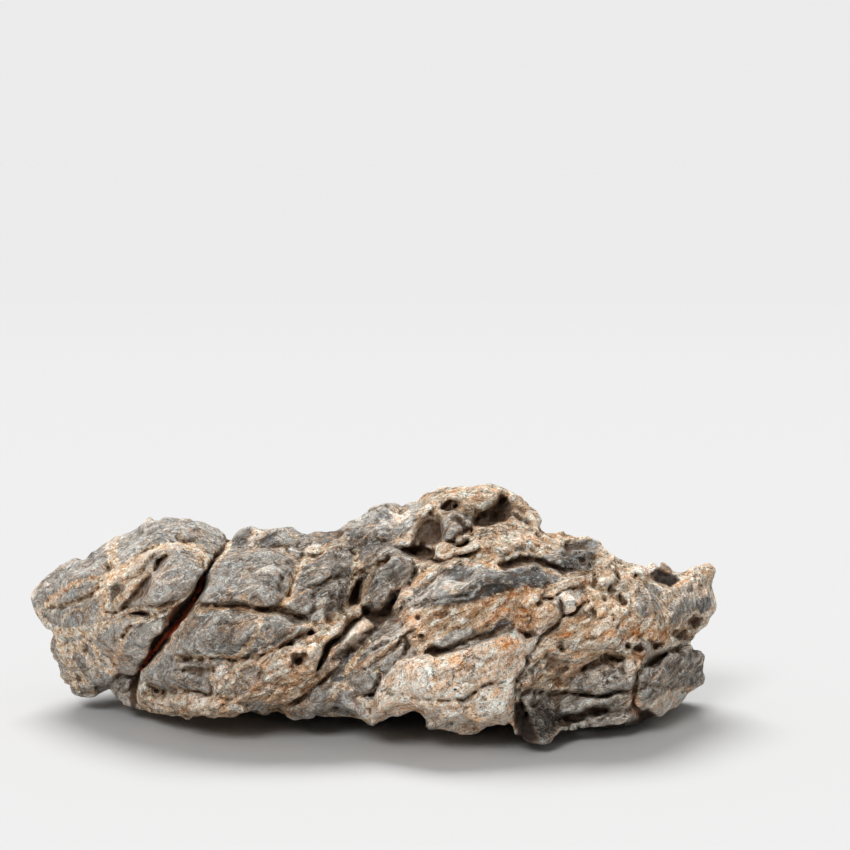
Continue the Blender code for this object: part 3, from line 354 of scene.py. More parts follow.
# The blocks of the front: how far each stands forward, how much it swells and how deep its border groove is.
PLATES = (
    Plate("left_cap", GREY, -2, 2, 1.5, ((86, 558), (90, 550), (102, 541), (124, 529), (157, 515),
        (210, 515), (230, 531), (224, 546), (214, 557), (204, 549), (192, 545), (177, 543), (166, 547),
        (147, 554), (136, 561), (119, 574))),
    Plate("left_shoulder", GREY, 0, 2, 1.5, ((30, 602), (46, 574), (72, 555), (88, 555), (92, 547),
        (113, 535), (113, 556), (106, 570), (103, 580), (90, 579), (77, 582), (63, 589), (52, 598),
        (45, 608))),
    Plate("left_lens", GREY, -1, 1, 1, ((50, 602), (63, 590), (77, 583), (103, 580), (97, 590), (88, 597),
        (68, 604))),
    Plate("left_nose", GREY, 0, 2, 1, ((28, 606), (45, 608), (68, 606), (88, 599), (97, 602), (98, 612),
        (92, 625), (75, 634), (55, 634), (38, 622))),
    Plate("left_face", GREY, 0, 1, 1, ((50, 636), (75, 636), (92, 643), (108, 657), (121, 672), (110, 686),
        (104, 694), (92, 701), (78, 690), (63, 676), (54, 655))),
    Plate("left_flank", GREY, 1, 2, 1, ((92, 626), (105, 618), (125, 617), (140, 621), (158, 620),
        (167, 620), (158, 630), (147, 651), (146, 658), (139, 669), (122, 671), (108, 656), (90, 640))),
    Plate("left_ridge", TAN, 3, 2, 1.5, ((104, 583), (119, 574), (136, 560), (150, 552), (168, 546),
        (160, 556), (150, 568), (146, 581), (135, 592), (122, 607), (108, 612), (104, 607), (108, 596))),
    Plate("left_middle", GREY, 4, 3, 2, ((125, 606), (135, 593), (146, 581), (152, 568), (168, 545),
        (177, 543), (193, 546), (204, 549), (214, 560), (208, 572), (194, 587), (185, 596), (172, 605),
        (150, 604))),
    Plate("left_heel", SHALE, -4, 1, 1, ((68, 684), (79, 690), (92, 698), (108, 690), (108, 697), (90, 704),
        (72, 698))),
    Plate("left_foot", SHALE, -7, 2, 1.5, ((110, 686), (118, 674), (140, 672), (139, 684), (136, 691),
        (138, 703), (148, 712), (138, 718), (108, 710))),
    Plate("middle_upper", GREY, 2, 4, 2, ((207, 573), (212, 566), (222, 556), (232, 551), (245, 549),
        (262, 550), (275, 553), (290, 559), (297, 566), (293, 582), (288, 596), (276, 606), (262, 610),
        (246, 606), (216, 605), (200, 604), (200, 595), (207, 585))),
    Plate("middle_crest", GREY, -2, 1.5, 1.5, ((224, 548), (228, 536), (241, 525), (285, 523), (336, 525),
        (334, 541), (322, 550), (306, 559), (297, 563), (290, 557), (275, 551), (236, 550))),
    Plate("second_upper", SHALE, 1, 3, 2, ((300, 566), (312, 560), (330, 549), (346, 539), (356, 550),
        (358, 562), (352, 585), (347, 600), (338, 609), (318, 612), (306, 617), (294, 615), (283, 607),
        (289, 597), (294, 582))),
    Plate("second_crest", GREY, -2, 2, 1.5, ((336, 529), (356, 515), (385, 498), (421, 503), (417, 520),
        (410, 530), (398, 537), (392, 541), (374, 541), (360, 547), (350, 541), (338, 540))),
    Plate("third_upper", SHALE, 1, 4, 2.5, ((362, 549), (376, 541), (392, 542), (401, 549), (412, 558),
        (416, 568), (410, 580), (400, 594), (391, 601), (384, 613), (374, 618), (366, 610), (363, 598),
        (366, 578), (359, 563))),
    Plate("middle_lower", GREY, 2, 4, 2, ((199, 609), (228, 608), (256, 612), (276, 614), (290, 618),
        (303, 624), (315, 631), (297, 637), (285, 643), (274, 649), (249, 656), (228, 663), (215, 675),
        (210, 694), (180, 691), (165, 692), (153, 687), (142, 683), (143, 674), (154, 664), (167, 647),
        (184, 625))),
    Plate("bottom_ledge", TAN, 3, 1.5, 1.5, ((136, 692), (142, 684), (153, 689), (165, 693), (180, 692),
        (201, 693), (230, 699), (262, 706), (265, 718), (240, 718), (185, 722), (150, 716), (137, 703))),
    Plate("tan_tongue", TAN, 0, 3, 1.5, ((317, 631), (325, 624), (336, 617), (346, 608), (362, 608),
        (366, 612), (348, 628), (340, 637), (331, 642), (325, 650), (322, 660), (315, 672), (305, 690),
        (297, 702), (279, 707), (260, 708), (228, 700), (213, 695), (213, 680), (222, 668), (250, 657),
        (268, 654), (285, 645), (297, 638))),
    Plate("tan_lens", TAN, 2, 2, 1, ((302, 672), (299, 655), (307, 645), (318, 642), (323, 650), (321, 660),
        (316, 671), (308, 677))),
    Plate("cream_lobes", CREAM, 3, 2, 1.5, ((338, 650), (345, 640), (348, 628), (356, 621), (366, 618),
        (376, 621), (378, 628), (370, 633), (360, 637), (352, 645), (344, 651))),
    Plate("banded_slope", SHALE, -2, 1, 0.5, ((326, 672), (334, 653), (345, 650), (360, 639), (375, 631),
        (391, 612), (404, 625), (405, 640), (378, 662), (352, 676), (336, 684))),
    Plate("low_block_a", GREY, 0, 2, 1, ((307, 707), (307, 697), (313, 688), (319, 683), (334, 687),
        (329, 706), (318, 716), (303, 724), (290, 724), (286, 713))),
    Plate("low_block_b", GREY, 0, 2, 1, ((336, 691), (352, 690), (356, 695), (358, 707), (372, 708),
        (374, 722), (347, 722), (322, 718), (330, 706))),
    Plate("low_block_c", GREY, 1, 2, 1.5, ((352, 676), (366, 668), (378, 664), (382, 672), (378, 682),
        (374, 693), (357, 695), (353, 684))),
    Plate("grey_slab", SHALE, 0, 1, 1, ((378, 664), (390, 655), (404, 643), (418, 648), (408, 659),
        (396, 664), (392, 672), (381, 682))),
    Plate("knob_cap", TAN, 1, 2, 1, ((421, 507), (430, 495), (444, 484), (476, 481), (510, 486), (526, 502),
        (540, 518), (542, 536), (531, 533), (523, 522), (513, 511), (504, 503), (480, 509), (462, 508),
        (440, 507), (428, 516), (418, 526))),
    Plate("knob_flake", GREY, -5, 2, 1, ((412, 545), (420, 528), (430, 520), (440, 524), (441, 536),
        (434, 546))),
    Plate("knob_nub", GREY, 4, 4, 1.5, ((444, 541), (442, 526), (446, 516), (453, 512), (462, 514),
        (472, 520), (473, 528), (464, 533), (456, 541))),
    Plate("knob_ledge", TAN, 3, 2, 1.5, ((433, 557), (434, 544), (453, 543), (457, 548), (470, 546),
        (479, 542), (480, 548), (470, 553), (450, 557))),
    Plate("cap_strip", GREY, 1, 1, 1, ((139, 577), (145, 580), (155, 571), (167, 554), (165, 548),
        (159, 551), (144, 566))),
    Plate("column_face", SHALE, 0, 1, 1, ((112, 600), (112, 588), (117, 582), (124, 588), (122, 600),
        (117, 610))),
    Plate("cream_facets", CREAM, 1, 2, 1, ((391, 611), (392, 596), (405, 583), (414, 589), (419, 598),
        (406, 605))),
    Plate("slate_block", SLATE, 1, 2, 1.5, ((406, 605), (418, 594), (431, 584), (443, 572), (457, 566),
        (479, 566), (491, 571), (509, 570), (534, 564), (542, 572), (560, 576), (560, 583), (540, 587),
        (515, 590), (479, 598), (469, 601), (449, 605), (433, 606))),
    Plate("knobbly_ledge", GREY, 2, 2, 1, ((543, 556), (556, 549), (572, 546), (590, 545), (600, 552),
        (592, 561), (585, 571), (572, 573), (560, 570), (548, 564))),
    Plate("round_lump", TAN, 2, 3, 1, ((591, 563), (600, 552), (613, 556), (619, 568), (611, 581),
        (597, 580))),
    Plate("rope_facets", CREAM, 2, 2, 1, ((536, 612), (545, 600), (560, 592), (582, 588), (586, 600),
        (570, 610), (560, 616), (551, 632), (538, 638), (532, 626))),
    Plate("cream_slab", CREAM, 4, 3, 2, ((372, 706), (376, 690), (381, 680), (395, 669), (398, 662),
        (415, 656), (442, 653), (470, 645), (500, 633), (515, 628), (527, 638), (540, 638), (538, 646),
        (526, 660), (525, 667), (514, 680), (511, 700), (514, 708), (512, 718), (487, 732), (457, 740),
        (435, 735), (427, 722), (415, 711), (388, 720), (372, 726))),
    Plate("pleat_upper", TAN, 1, 2, 1, ((541, 634), (558, 644), (548, 653), (545, 661), (528, 670),
        (526, 666), (539, 646))),
    Plate("pleat_lower", TAN, -3, 2, 1.5, ((548, 654), (556, 660), (560, 672), (560, 683), (543, 690),
        (521, 690), (514, 680), (527, 671), (545, 662))),
    Plate("hanging_flake", SHALE, -6, 1, 1, ((516, 690), (543, 690), (541, 696), (528, 711), (520, 703))),
    Plate("shaded_keel", SHALE, -5, 3, 1.5, ((515, 728), (522, 712), (534, 706), (546, 692), (566, 690),
        (571, 700), (562, 716), (556, 732), (540, 744), (528, 744))),
    Plate("grey_wedge", SHALE, 3, 3, 1.5, ((569, 690), (573, 676), (588, 668), (606, 664), (622, 672),
        (629, 684), (630, 692), (619, 689), (601, 695), (584, 693))),
    Plate("wedge_strip", SHALE, 1, 2, 1.5, ((569, 693), (584, 695), (601, 698), (619, 692), (631, 694),
        (630, 706), (616, 710), (596, 714), (574, 722), (560, 728), (566, 712))),
    Plate("bottom_lump", SHALE, -2, 3, 1.5, ((568, 731), (577, 722), (596, 716), (617, 712), (634, 708),
        (641, 716), (640, 730), (620, 734), (590, 734))),
    Plate("tan_lip", TAN, 1, 2, 0.5, ((541, 664), (552, 652), (567, 640), (588, 628), (612, 624),
        (625, 634), (622, 648), (608, 651), (592, 657), (579, 668), (562, 677), (546, 676))),
    Plate("right_block", SHALE, 1, 3, 2.5, ((636, 690), (634, 680), (644, 667), (650, 660), (662, 650),
        (684, 645), (703, 645), (716, 655), (712, 668), (688, 680), (668, 690), (646, 706))),
    Plate("right_skirt", SHALE, -1, 2, 1.5, ((646, 708), (668, 693), (690, 682), (712, 670), (712, 684),
        (680, 712), (660, 730), (645, 722))),
    Plate("grey_crystal", GREY, 2, 1, 0.5, ((649, 583), (660, 590), (655, 604), (644, 616), (632, 614),
        (639, 595))),
    Plate("right_tip", CREAM, 1, 2, 1, ((668, 612), (678, 596), (692, 588), (708, 583), (722, 600),
        (720, 616), (706, 622), (690, 622), (676, 622))),
    Plate("middle_tip", TAN, 4.5, 1, 0.5, ((192, 546), (201, 546), (208, 553), (215, 559), (210, 567),
        (205, 571), (199, 568), (196, 558))),
    Plate("crest_patch", CREAM, -1, 1, 1, ((253, 530), (267, 528), (265, 537), (259, 542), (256, 550),
        (247, 548), (251, 537))),
    Plate("crest_dark", SLATE, -2, 1, 1, ((267, 533), (276, 534), (280, 542), (271, 547), (259, 549),
        (261, 541))),
    Plate("crest_lump", CREAM, 0, 2, 1, ((305, 548), (314, 541), (322, 546), (322, 555), (310, 558),
        (303, 556))),
    Plate("white_facet", CREAM, 2, 1, 1, ((334, 553), (341, 545), (349, 544), (354, 551), (346, 555),
        (336, 556))),
    Plate("cream_block", CREAM, 2, 2, 1, ((206, 679), (212, 671), (220, 665), (228, 662), (234, 666),
        (233, 672), (230, 680), (224, 690), (214, 694), (212, 684))),
    Plate("tongue_grey", GREY, 1, 1.5, 1, ((246, 667), (256, 665), (262, 671), (260, 680), (251, 686),
        (243, 692), (232, 697), (229, 695), (237, 687), (240, 677))),
    Plate("ledge_cream", CREAM, 3.5, 2, 0.5, ((187, 697), (196, 694), (206, 695), (210, 701), (203, 706),
        (190, 705))),
    Plate("ledge_grey", GREY, 1, 1, 0.5, ((247, 702), (262, 703), (263, 711), (249, 713))),
    Plate("small_lump", GREY, 1, 2, 1, ((307, 619), (315, 611), (326, 606), (333, 609), (331, 614),
        (320, 621), (312, 623))),
    Plate("crest_face", GREY, -1, 2, 1, ((350, 536), (358, 526), (369, 521), (380, 521), (388, 528),
        (391, 536), (380, 539), (374, 543), (357, 538))),
    Plate("crest_slate", SLATE, -1, 1, 0.5, ((377, 516), (385, 512), (392, 517), (394, 523), (386, 521))),
    Plate("crest_cream", CREAM, 0, 1, 0.5, ((389, 512), (398, 508), (410, 510), (414, 518), (408, 526),
        (396, 522))),
    Plate("third_rim", CREAM, 2, 1, 0.5, ((356, 563), (366, 561), (373, 556), (376, 552), (388, 545),
        (390, 549), (378, 558), (368, 566), (358, 570))),
    Plate("third_side", TAN, -1, 1, 0.5, ((367, 568), (374, 562), (386, 556), (394, 552), (386, 563),
        (374, 570), (370, 585), (365, 595), (362, 582))),
    Plate("gap_lump", TAN, -3, 2, 1, ((357, 578), (360, 585), (356, 602), (350, 604), (351, 592))),
    Plate("slate_facet", SLATE, 0, 1, 1, ((345, 655), (356, 651), (368, 647), (370, 652), (359, 659),
        (348, 664))),
    Plate("slate_strip", SLATE, -1, 1, 1, ((333, 679), (340, 671), (349, 665), (348, 673), (345, 682),
        (334, 684))),
    Plate("cream_shelf", CREAM, 1, 1, 1, ((328, 667), (332, 660), (340, 660), (341, 665), (330, 671))),
    Plate("band_vein", TAN, 1, 1.5, 0.5, ((353, 673), (363, 661), (377, 651), (389, 639), (409, 620),
        (414, 624), (398, 641), (380, 657), (366, 667))),
    Plate("grey_column", GREY, 1, 2, 1, ((350, 675), (366, 668), (377, 665), (380, 675), (377, 690),
        (366, 695), (355, 693), (352, 684))),
    Plate("column_foot", CREAM, 0, 2, 1, ((355, 695), (364, 697), (374, 697), (377, 702), (370, 712),
        (362, 706))),
    Plate("left_facet_a", CREAM, 2, 2, 1, ((393, 603), (394, 595), (404, 588), (410, 592), (408, 600),
        (398, 605))),
    Plate("left_facet_b", CREAM, 1, 1, 1, ((392, 612), (393, 605), (405, 606), (401, 612))),
    Plate("grey_band", GREY, 1, 1, 1, ((405, 604), (416, 598), (431, 592), (445, 588), (452, 591),
        (436, 600), (420, 606), (408, 610))),
    Plate("slate_split", GREY, 2, 1, 1, ((414, 601), (430, 586), (440, 578), (452, 578), (472, 584),
        (470, 592), (452, 600), (432, 604))),
    Plate("slate_dark_a", SLATE, 0, 1, 1, ((445, 574), (455, 570), (466, 572), (473, 579), (462, 583),
        (450, 581))),
    Plate("slate_dark_b", SLATE, 0, 1, 1, ((511, 574), (522, 569), (535, 568), (541, 577), (532, 584),
        (519, 581))),
    Plate("slate_dark_c", SLATE, 0, 1, 1, ((477, 596), (483, 587), (498, 583), (513, 588), (500, 592),
        (486, 596))),
    Plate("lens_a", GREY, 2, 1.5, 1, ((431, 641), (443, 634), (460, 628), (473, 626), (474, 634),
        (465, 640), (452, 645), (439, 649))),
    Plate("lens_b", SLATE, 0, 1, 1, ((477, 636), (488, 630), (498, 620), (506, 618), (513, 621), (511, 628),
        (498, 631), (489, 637), (480, 641))),
    Plate("hollow_wall", TAN, -3, 1, 0.5, ((503, 529), (510, 521), (509, 513), (519, 517), (527, 523),
        (532, 532), (516, 532))),
    Plate("hanging_lobe", TAN, 3, 2, 0.5, ((462, 502), (474, 492), (487, 493), (501, 491), (498, 500),
        (486, 508), (480, 514), (474, 514), (466, 508))),
    Plate("nub_front", TAN, 2, 2, 1, ((455, 536), (459, 533), (470, 533), (472, 537), (462, 544),
        (455, 543))),
    Plate("ledge_box", TAN, 4, 1, 1, ((434, 547), (454, 544), (456, 549), (452, 556), (446, 560),
        (439, 559), (435, 554))),
    Plate("knob_slab", GREY, -4, 1, 0.5, ((421, 540), (424, 528), (430, 521), (434, 527), (431, 538),
        (425, 541))),
    Plate("ledge_lump_a", GREY, 3, 2, 1, ((543, 559), (550, 553), (562, 549), (567, 554), (558, 560),
        (549, 564))),
    Plate("ledge_lump_b", GREY, 3, 2, 1, ((555, 565), (562, 559), (577, 556), (572, 564), (562, 569))),
    Plate("ledge_dark", SLATE, -1, 1, 0.5, ((572, 548), (582, 543), (596, 542), (600, 548), (586, 549))),
    Plate("shoulder_lump", TAN, 2, 3, 1, ((596, 578), (600, 569), (610, 565), (616, 572), (617, 582),
        (606, 588), (597, 587))),
    Plate("rope_top", TAN, 2, 2, 1, ((538, 590), (553, 583), (564, 577), (580, 575), (594, 573), (593, 582),
        (580, 588), (562, 590), (546, 596))),
    Plate("rope_pebble", TAN, 0, 2, 1.5, ((544, 597), (546, 590), (556, 587), (563, 589), (560, 595),
        (550, 599))),
    Plate("rope_facet_a", CREAM, 2, 2, 1, ((562, 596), (574, 590), (585, 596), (584, 605), (576, 614),
        (566, 617), (563, 606))),
    Plate("rope_facet_b", TAN, 2, 2, 1, ((540, 603), (558, 599), (562, 606), (562, 619), (550, 630),
        (542, 633), (533, 622), (531, 613))),
    Plate("cave_rim", CREAM, 2, 1, 0.5, ((633, 566), (644, 561), (657, 566), (672, 568), (684, 575),
        (680, 578), (668, 573), (655, 571), (644, 575), (636, 572))),
    Plate("crystal_strip", GREY, 1, 1, 0.5, ((651, 605), (665, 599), (664, 607), (645, 618), (646, 611))),
    Plate("tip_grey_a", SLATE, 1, 1, 0.5, ((695, 597), (703, 593), (710, 600), (710, 608), (700, 613),
        (694, 610))),
    Plate("tip_grey_b", GREY, 1, 1, 0.5, ((671, 625), (674, 610), (684, 600), (691, 603), (690, 612),
        (680, 618))),
    Plate("curl", SHALE, 1, 1, 1, ((633, 654), (634, 645), (640, 641), (648, 642), (653, 648), (652, 656),
        (642, 660))),
    Plate("ribbon", CREAM, 2, 1, 0.5, ((624, 660), (633, 662), (640, 668), (636, 680), (634, 690),
        (628, 682), (624, 672))),
    Plate("flake", SHALE, -3, 1, 1, ((520, 698), (531, 694), (543, 693), (541, 700), (532, 705), (528, 712),
        (522, 706))),
    Plate("strip_lump", SHALE, 2, 2, 1, ((559, 712), (560, 700), (567, 694), (572, 700), (570, 710),
        (563, 716))),
    Plate("light_skirt", CREAM, 1, 2, 1, ((646, 706), (656, 700), (667, 690), (698, 685), (700, 692),
        (684, 704), (666, 721), (659, 726))),
)

# Open cracks: how deep they cut and how wide they are at the surface, both in mm.
CRACKS = (
    Line("great_crack_top", 10, 1.0, ((229, 538), (222, 550), (210, 568), (206, 576))),
    Line("great_crack", 15, 1.7, ((206, 574), (199, 590), (188, 606), (172, 624), (160, 640), (152, 655),
        (142, 668), (137, 678))),
    Line("great_crack_foot", 9, 1.6, ((140, 672), (134, 684), (132, 696), (134, 712))),
    Line("left_fissure", 4, 1.0, ((50, 608), (68, 604), (88, 597), (98, 588))),
    Line("left_slit", 5, 1.5, ((149, 578), (141, 589), (131, 599), (122, 608))),
    Line("left_notch", 6, 1.5, ((167, 556), (161, 563), (155, 571))),
    Line("left_seam", 3, 0.9, ((105, 612), (128, 612), (150, 617), (172, 610))),
    Line("face_seam", 2, 0.7, ((93, 644), (104, 654), (113, 664), (121, 673))),
    Line("middle_hollow", 5, 1.6, ((262, 611), (280, 611), (294, 619), (308, 620))),
    Line("second_step", 3, 1.0, ((307, 588), (319, 585), (330, 580), (338, 576), (348, 575))),
    Line("third_foot", 9, 2.4, ((366, 612), (376, 620), (388, 611), (394, 600))),
    Line("lower_seam", 2.5, 0.8, ((176, 659), (188, 661), (197, 658), (219, 658), (236, 662))),
    Line("ledge_seam", 3, 1.0, ((140, 683), (153, 688), (166, 692), (201, 692), (212, 697))),
    Line("tongue_crack", 4, 0.8, ((366, 614), (349, 627), (340, 637), (328, 644), (324, 658), (315, 672))),
    Line("tongue_foot", 4, 0.8, ((334, 674), (320, 682), (307, 694), (298, 703), (283, 707))),
    Line("knob_gap", 9, 2.6, ((404, 549), (416, 554), (432, 554))),
    Line("slab_crack", 2.5, 0.8, ((383, 688), (391, 695), (406, 697), (421, 699), (446, 700), (463, 701),
        (477, 690), (488, 684), (512, 684))),
    Line("slate_foot", 3, 1.2, ((470, 640), (490, 635), (506, 624))),
    Line("right_crease", 6, 1.1, ((637, 672), (635, 690), (633, 707))),
    Line("wedge_seam", 3, 0.8, ((567, 692), (584, 695), (601, 696), (619, 690), (631, 693))),
    Line("keel_cut", 6, 1.6, ((556, 731), (568, 720), (588, 713), (606, 711))),
    Line("right_cut", 4, 1.3, ((645, 668), (656, 662), (666, 652), (684, 648))),
    Line("shoulder_cut", 2.5, 0.7, ((87, 557), (94, 549), (101, 546), (109, 546))),
    Line("cap_foot", 2.5, 0.8, ((120, 574), (130, 565), (146, 551), (160, 544), (180, 541), (194, 544),
        (208, 553))),
    Line("nose_scoop", 2, 1.0, ((64, 619), (70, 613), (80, 608))),
    Line("face_crack", 1.5, 0.5, ((77, 653), (84, 663), (91, 672))),
    Line("flank_slit", 4, 0.9, ((122, 638), (133, 625))),
    Line("flank_crack", 2, 0.6, ((107, 622), (109, 636))),
    Line("middle_slit", 3, 0.6, ((165, 608), (175, 597))),
    Line("heel_cut", 3, 0.8, ((73, 688), (87, 693), (99, 694))),
    Line("foot_cut", 4, 1.0, ((110, 686), (120, 675), (134, 676))),
    Line("crest_cut_a", 3, 0.7, ((257, 550), (267, 549), (276, 546), (287, 546), (290, 552))),
    Line("crest_cut_b", 2, 0.6, ((236, 546), (245, 550), (250, 546))),
    Line("crest_cut_c", 2.5, 0.8, ((288, 563), (298, 563), (303, 556), (318, 558), (324, 552))),
    Line("upper_cut", 2, 0.6, ((236, 572), (245, 572), (254, 569), (265, 566))),
    Line("upper_recess", 3, 1.4, ((282, 578), (281, 592), (288, 597))),
    Line("lower_crack", 3, 0.7, ((263, 648), (273, 643), (284, 637), (295, 629))),
    Line("lower_notch", 4, 0.7, ((249, 655), (256, 650))),
    Line("tongue_seam", 2, 0.5, ((296, 677), (302, 679), (309, 679))),
    Line("tongue_side", 3, 1.6, ((345, 631), (354, 622), (364, 618))),
    Line("second_foot", 4, 1.0, ((281, 613), (292, 616), (303, 620))),
    Line("third_line", 2, 0.8, ((377, 567), (387, 561), (397, 555))),
    Line("lobe_notch", 4, 1.0, ((360, 634), (368, 632), (377, 628))),
    Line("lobe_gap", 3, 0.8, ((341, 650), (347, 645), (358, 638))),
    Line("slate_seam", 3, 0.6, ((318, 684), (327, 676), (340, 667))),
    Line("column_gap", 4, 1.2, ((362, 695), (373, 694), (380, 684))),
    Line("low_gap", 5, 1.1, ((287, 708), (296, 702), (306, 694))),
    Line("facet_slot", 4, 1.0, ((391, 621), (397, 614), (404, 609))),
    Line("band_crack_a", 3, 0.6, ((370, 651), (380, 645), (391, 640), (406, 632), (418, 629))),
    Line("band_crack_b", 2.5, 0.6, ((376, 632), (392, 622), (400, 619))),
    Line("band_crack_c", 2, 0.6, ((405, 604), (415, 598), (428, 592))),
    Line("slate_crack", 2, 0.6, ((412, 608), (430, 602), (450, 597), (466, 594))),
    Line("lens_foot", 3, 0.8, ((440, 650), (452, 646), (466, 640), (476, 637))),
    Line("slab_valley", 1.5, 0.8, ((448, 682), (456, 690), (461, 698))),
    Line("slab_cut", 2, 0.5, ((467, 698), (481, 688), (489, 685), (497, 687), (507, 680), (513, 676))),
    Line("slab_groove", 2, 0.7, ((435, 728), (448, 721), (462, 716))),
    Line("fold_dark", 4, 1.0, ((518, 682), (514, 690), (514, 702))),
    Line("ledge_under", 5, 0.9, ((429, 560), (437, 561), (445, 561))),
    Line("ledge_brown", 4, 1.0, ((457, 557), (467, 554), (478, 552))),
    Line("nub_gap", 4, 0.8, ((455, 546), (462, 546), (470, 541), (477, 536))),
    Line("nub_slot", 6, 0.8, ((472, 528), (473, 536))),
    Line("knob_slot", 5, 0.8, ((438, 538), (441, 543))),
    Line("rim_line", 3, 0.8, ((507, 511), (518, 517), (528, 524), (533, 532))),
    Line("shelf_lip", 3, 0.8, ((504, 558), (516, 551), (530, 550), (543, 555))),
    Line("lump_gap", 4, 0.8, ((541, 566), (553, 565), (562, 570), (574, 568))),
    Line("lump_foot", 4, 0.8, ((566, 556), (574, 554), (582, 552))),
    Line("round_gap", 5, 0.8, ((616, 571), (619, 580), (616, 585))),
    Line("shoulder_gap", 3, 0.8, ((594, 574), (597, 588), (610, 591))),
    Line("pebble_slit", 5, 0.7, ((543, 598), (553, 599), (563, 592))),
    Line("rope_slit", 4, 0.6, ((569, 588), (580, 589))),
    Line("rope_split", 3, 0.7, ((562, 596), (563, 608), (565, 617))),
    Line("rope_under", 4, 1.0, ((565, 617), (556, 626), (545, 635), (538, 645))),
    Line("rope_foot", 3, 0.8, ((565, 617), (572, 616), (579, 611), (586, 604), (594, 602))),
    Line("ring", 2, 0.6, ((514, 612), (519, 606), (527, 609), (527, 616), (520, 619))),
    Line("end_dark", 5, 1.4, ((651, 641), (656, 647), (663, 644))),
    Line("end_seam", 3, 0.8, ((620, 635), (624, 646), (629, 650))),
    Line("crease_top", 1.5, 0.5, ((634, 662), (636, 668), (637, 674))),
    Line("curl_slot", 5, 0.8, ((634, 654), (634, 662))),
    Line("block_cut_a", 2, 0.6, ((639, 682), (652, 684), (655, 676), (663, 667))),
    Line("block_cut_b", 3, 0.7, ((637, 690), (648, 686), (658, 686), (666, 689))),
    Line("block_cut_c", 2, 0.5, ((672, 664), (680, 670), (676, 678), (668, 682))),
    Line("strip_crack", 2, 0.5, ((570, 692), (587, 693), (600, 696), (608, 694))),
    Line("strip_pit", 5, 1.6, ((560, 726), (568, 719), (577, 715))),
    Line("crease_foot", 5, 1.2, ((633, 706), (640, 712), (648, 719))),
    Line("wedge_cut_a", 2, 0.5, ((592, 667), (601, 672), (606, 682), (600, 690))),
    Line("wedge_cut_b", 2, 0.5, ((606, 673), (616, 679), (622, 686))),
    Line("pleat_seam", 3, 0.8, ((541, 637), (534, 649), (527, 658), (527, 667), (518, 680))),
)

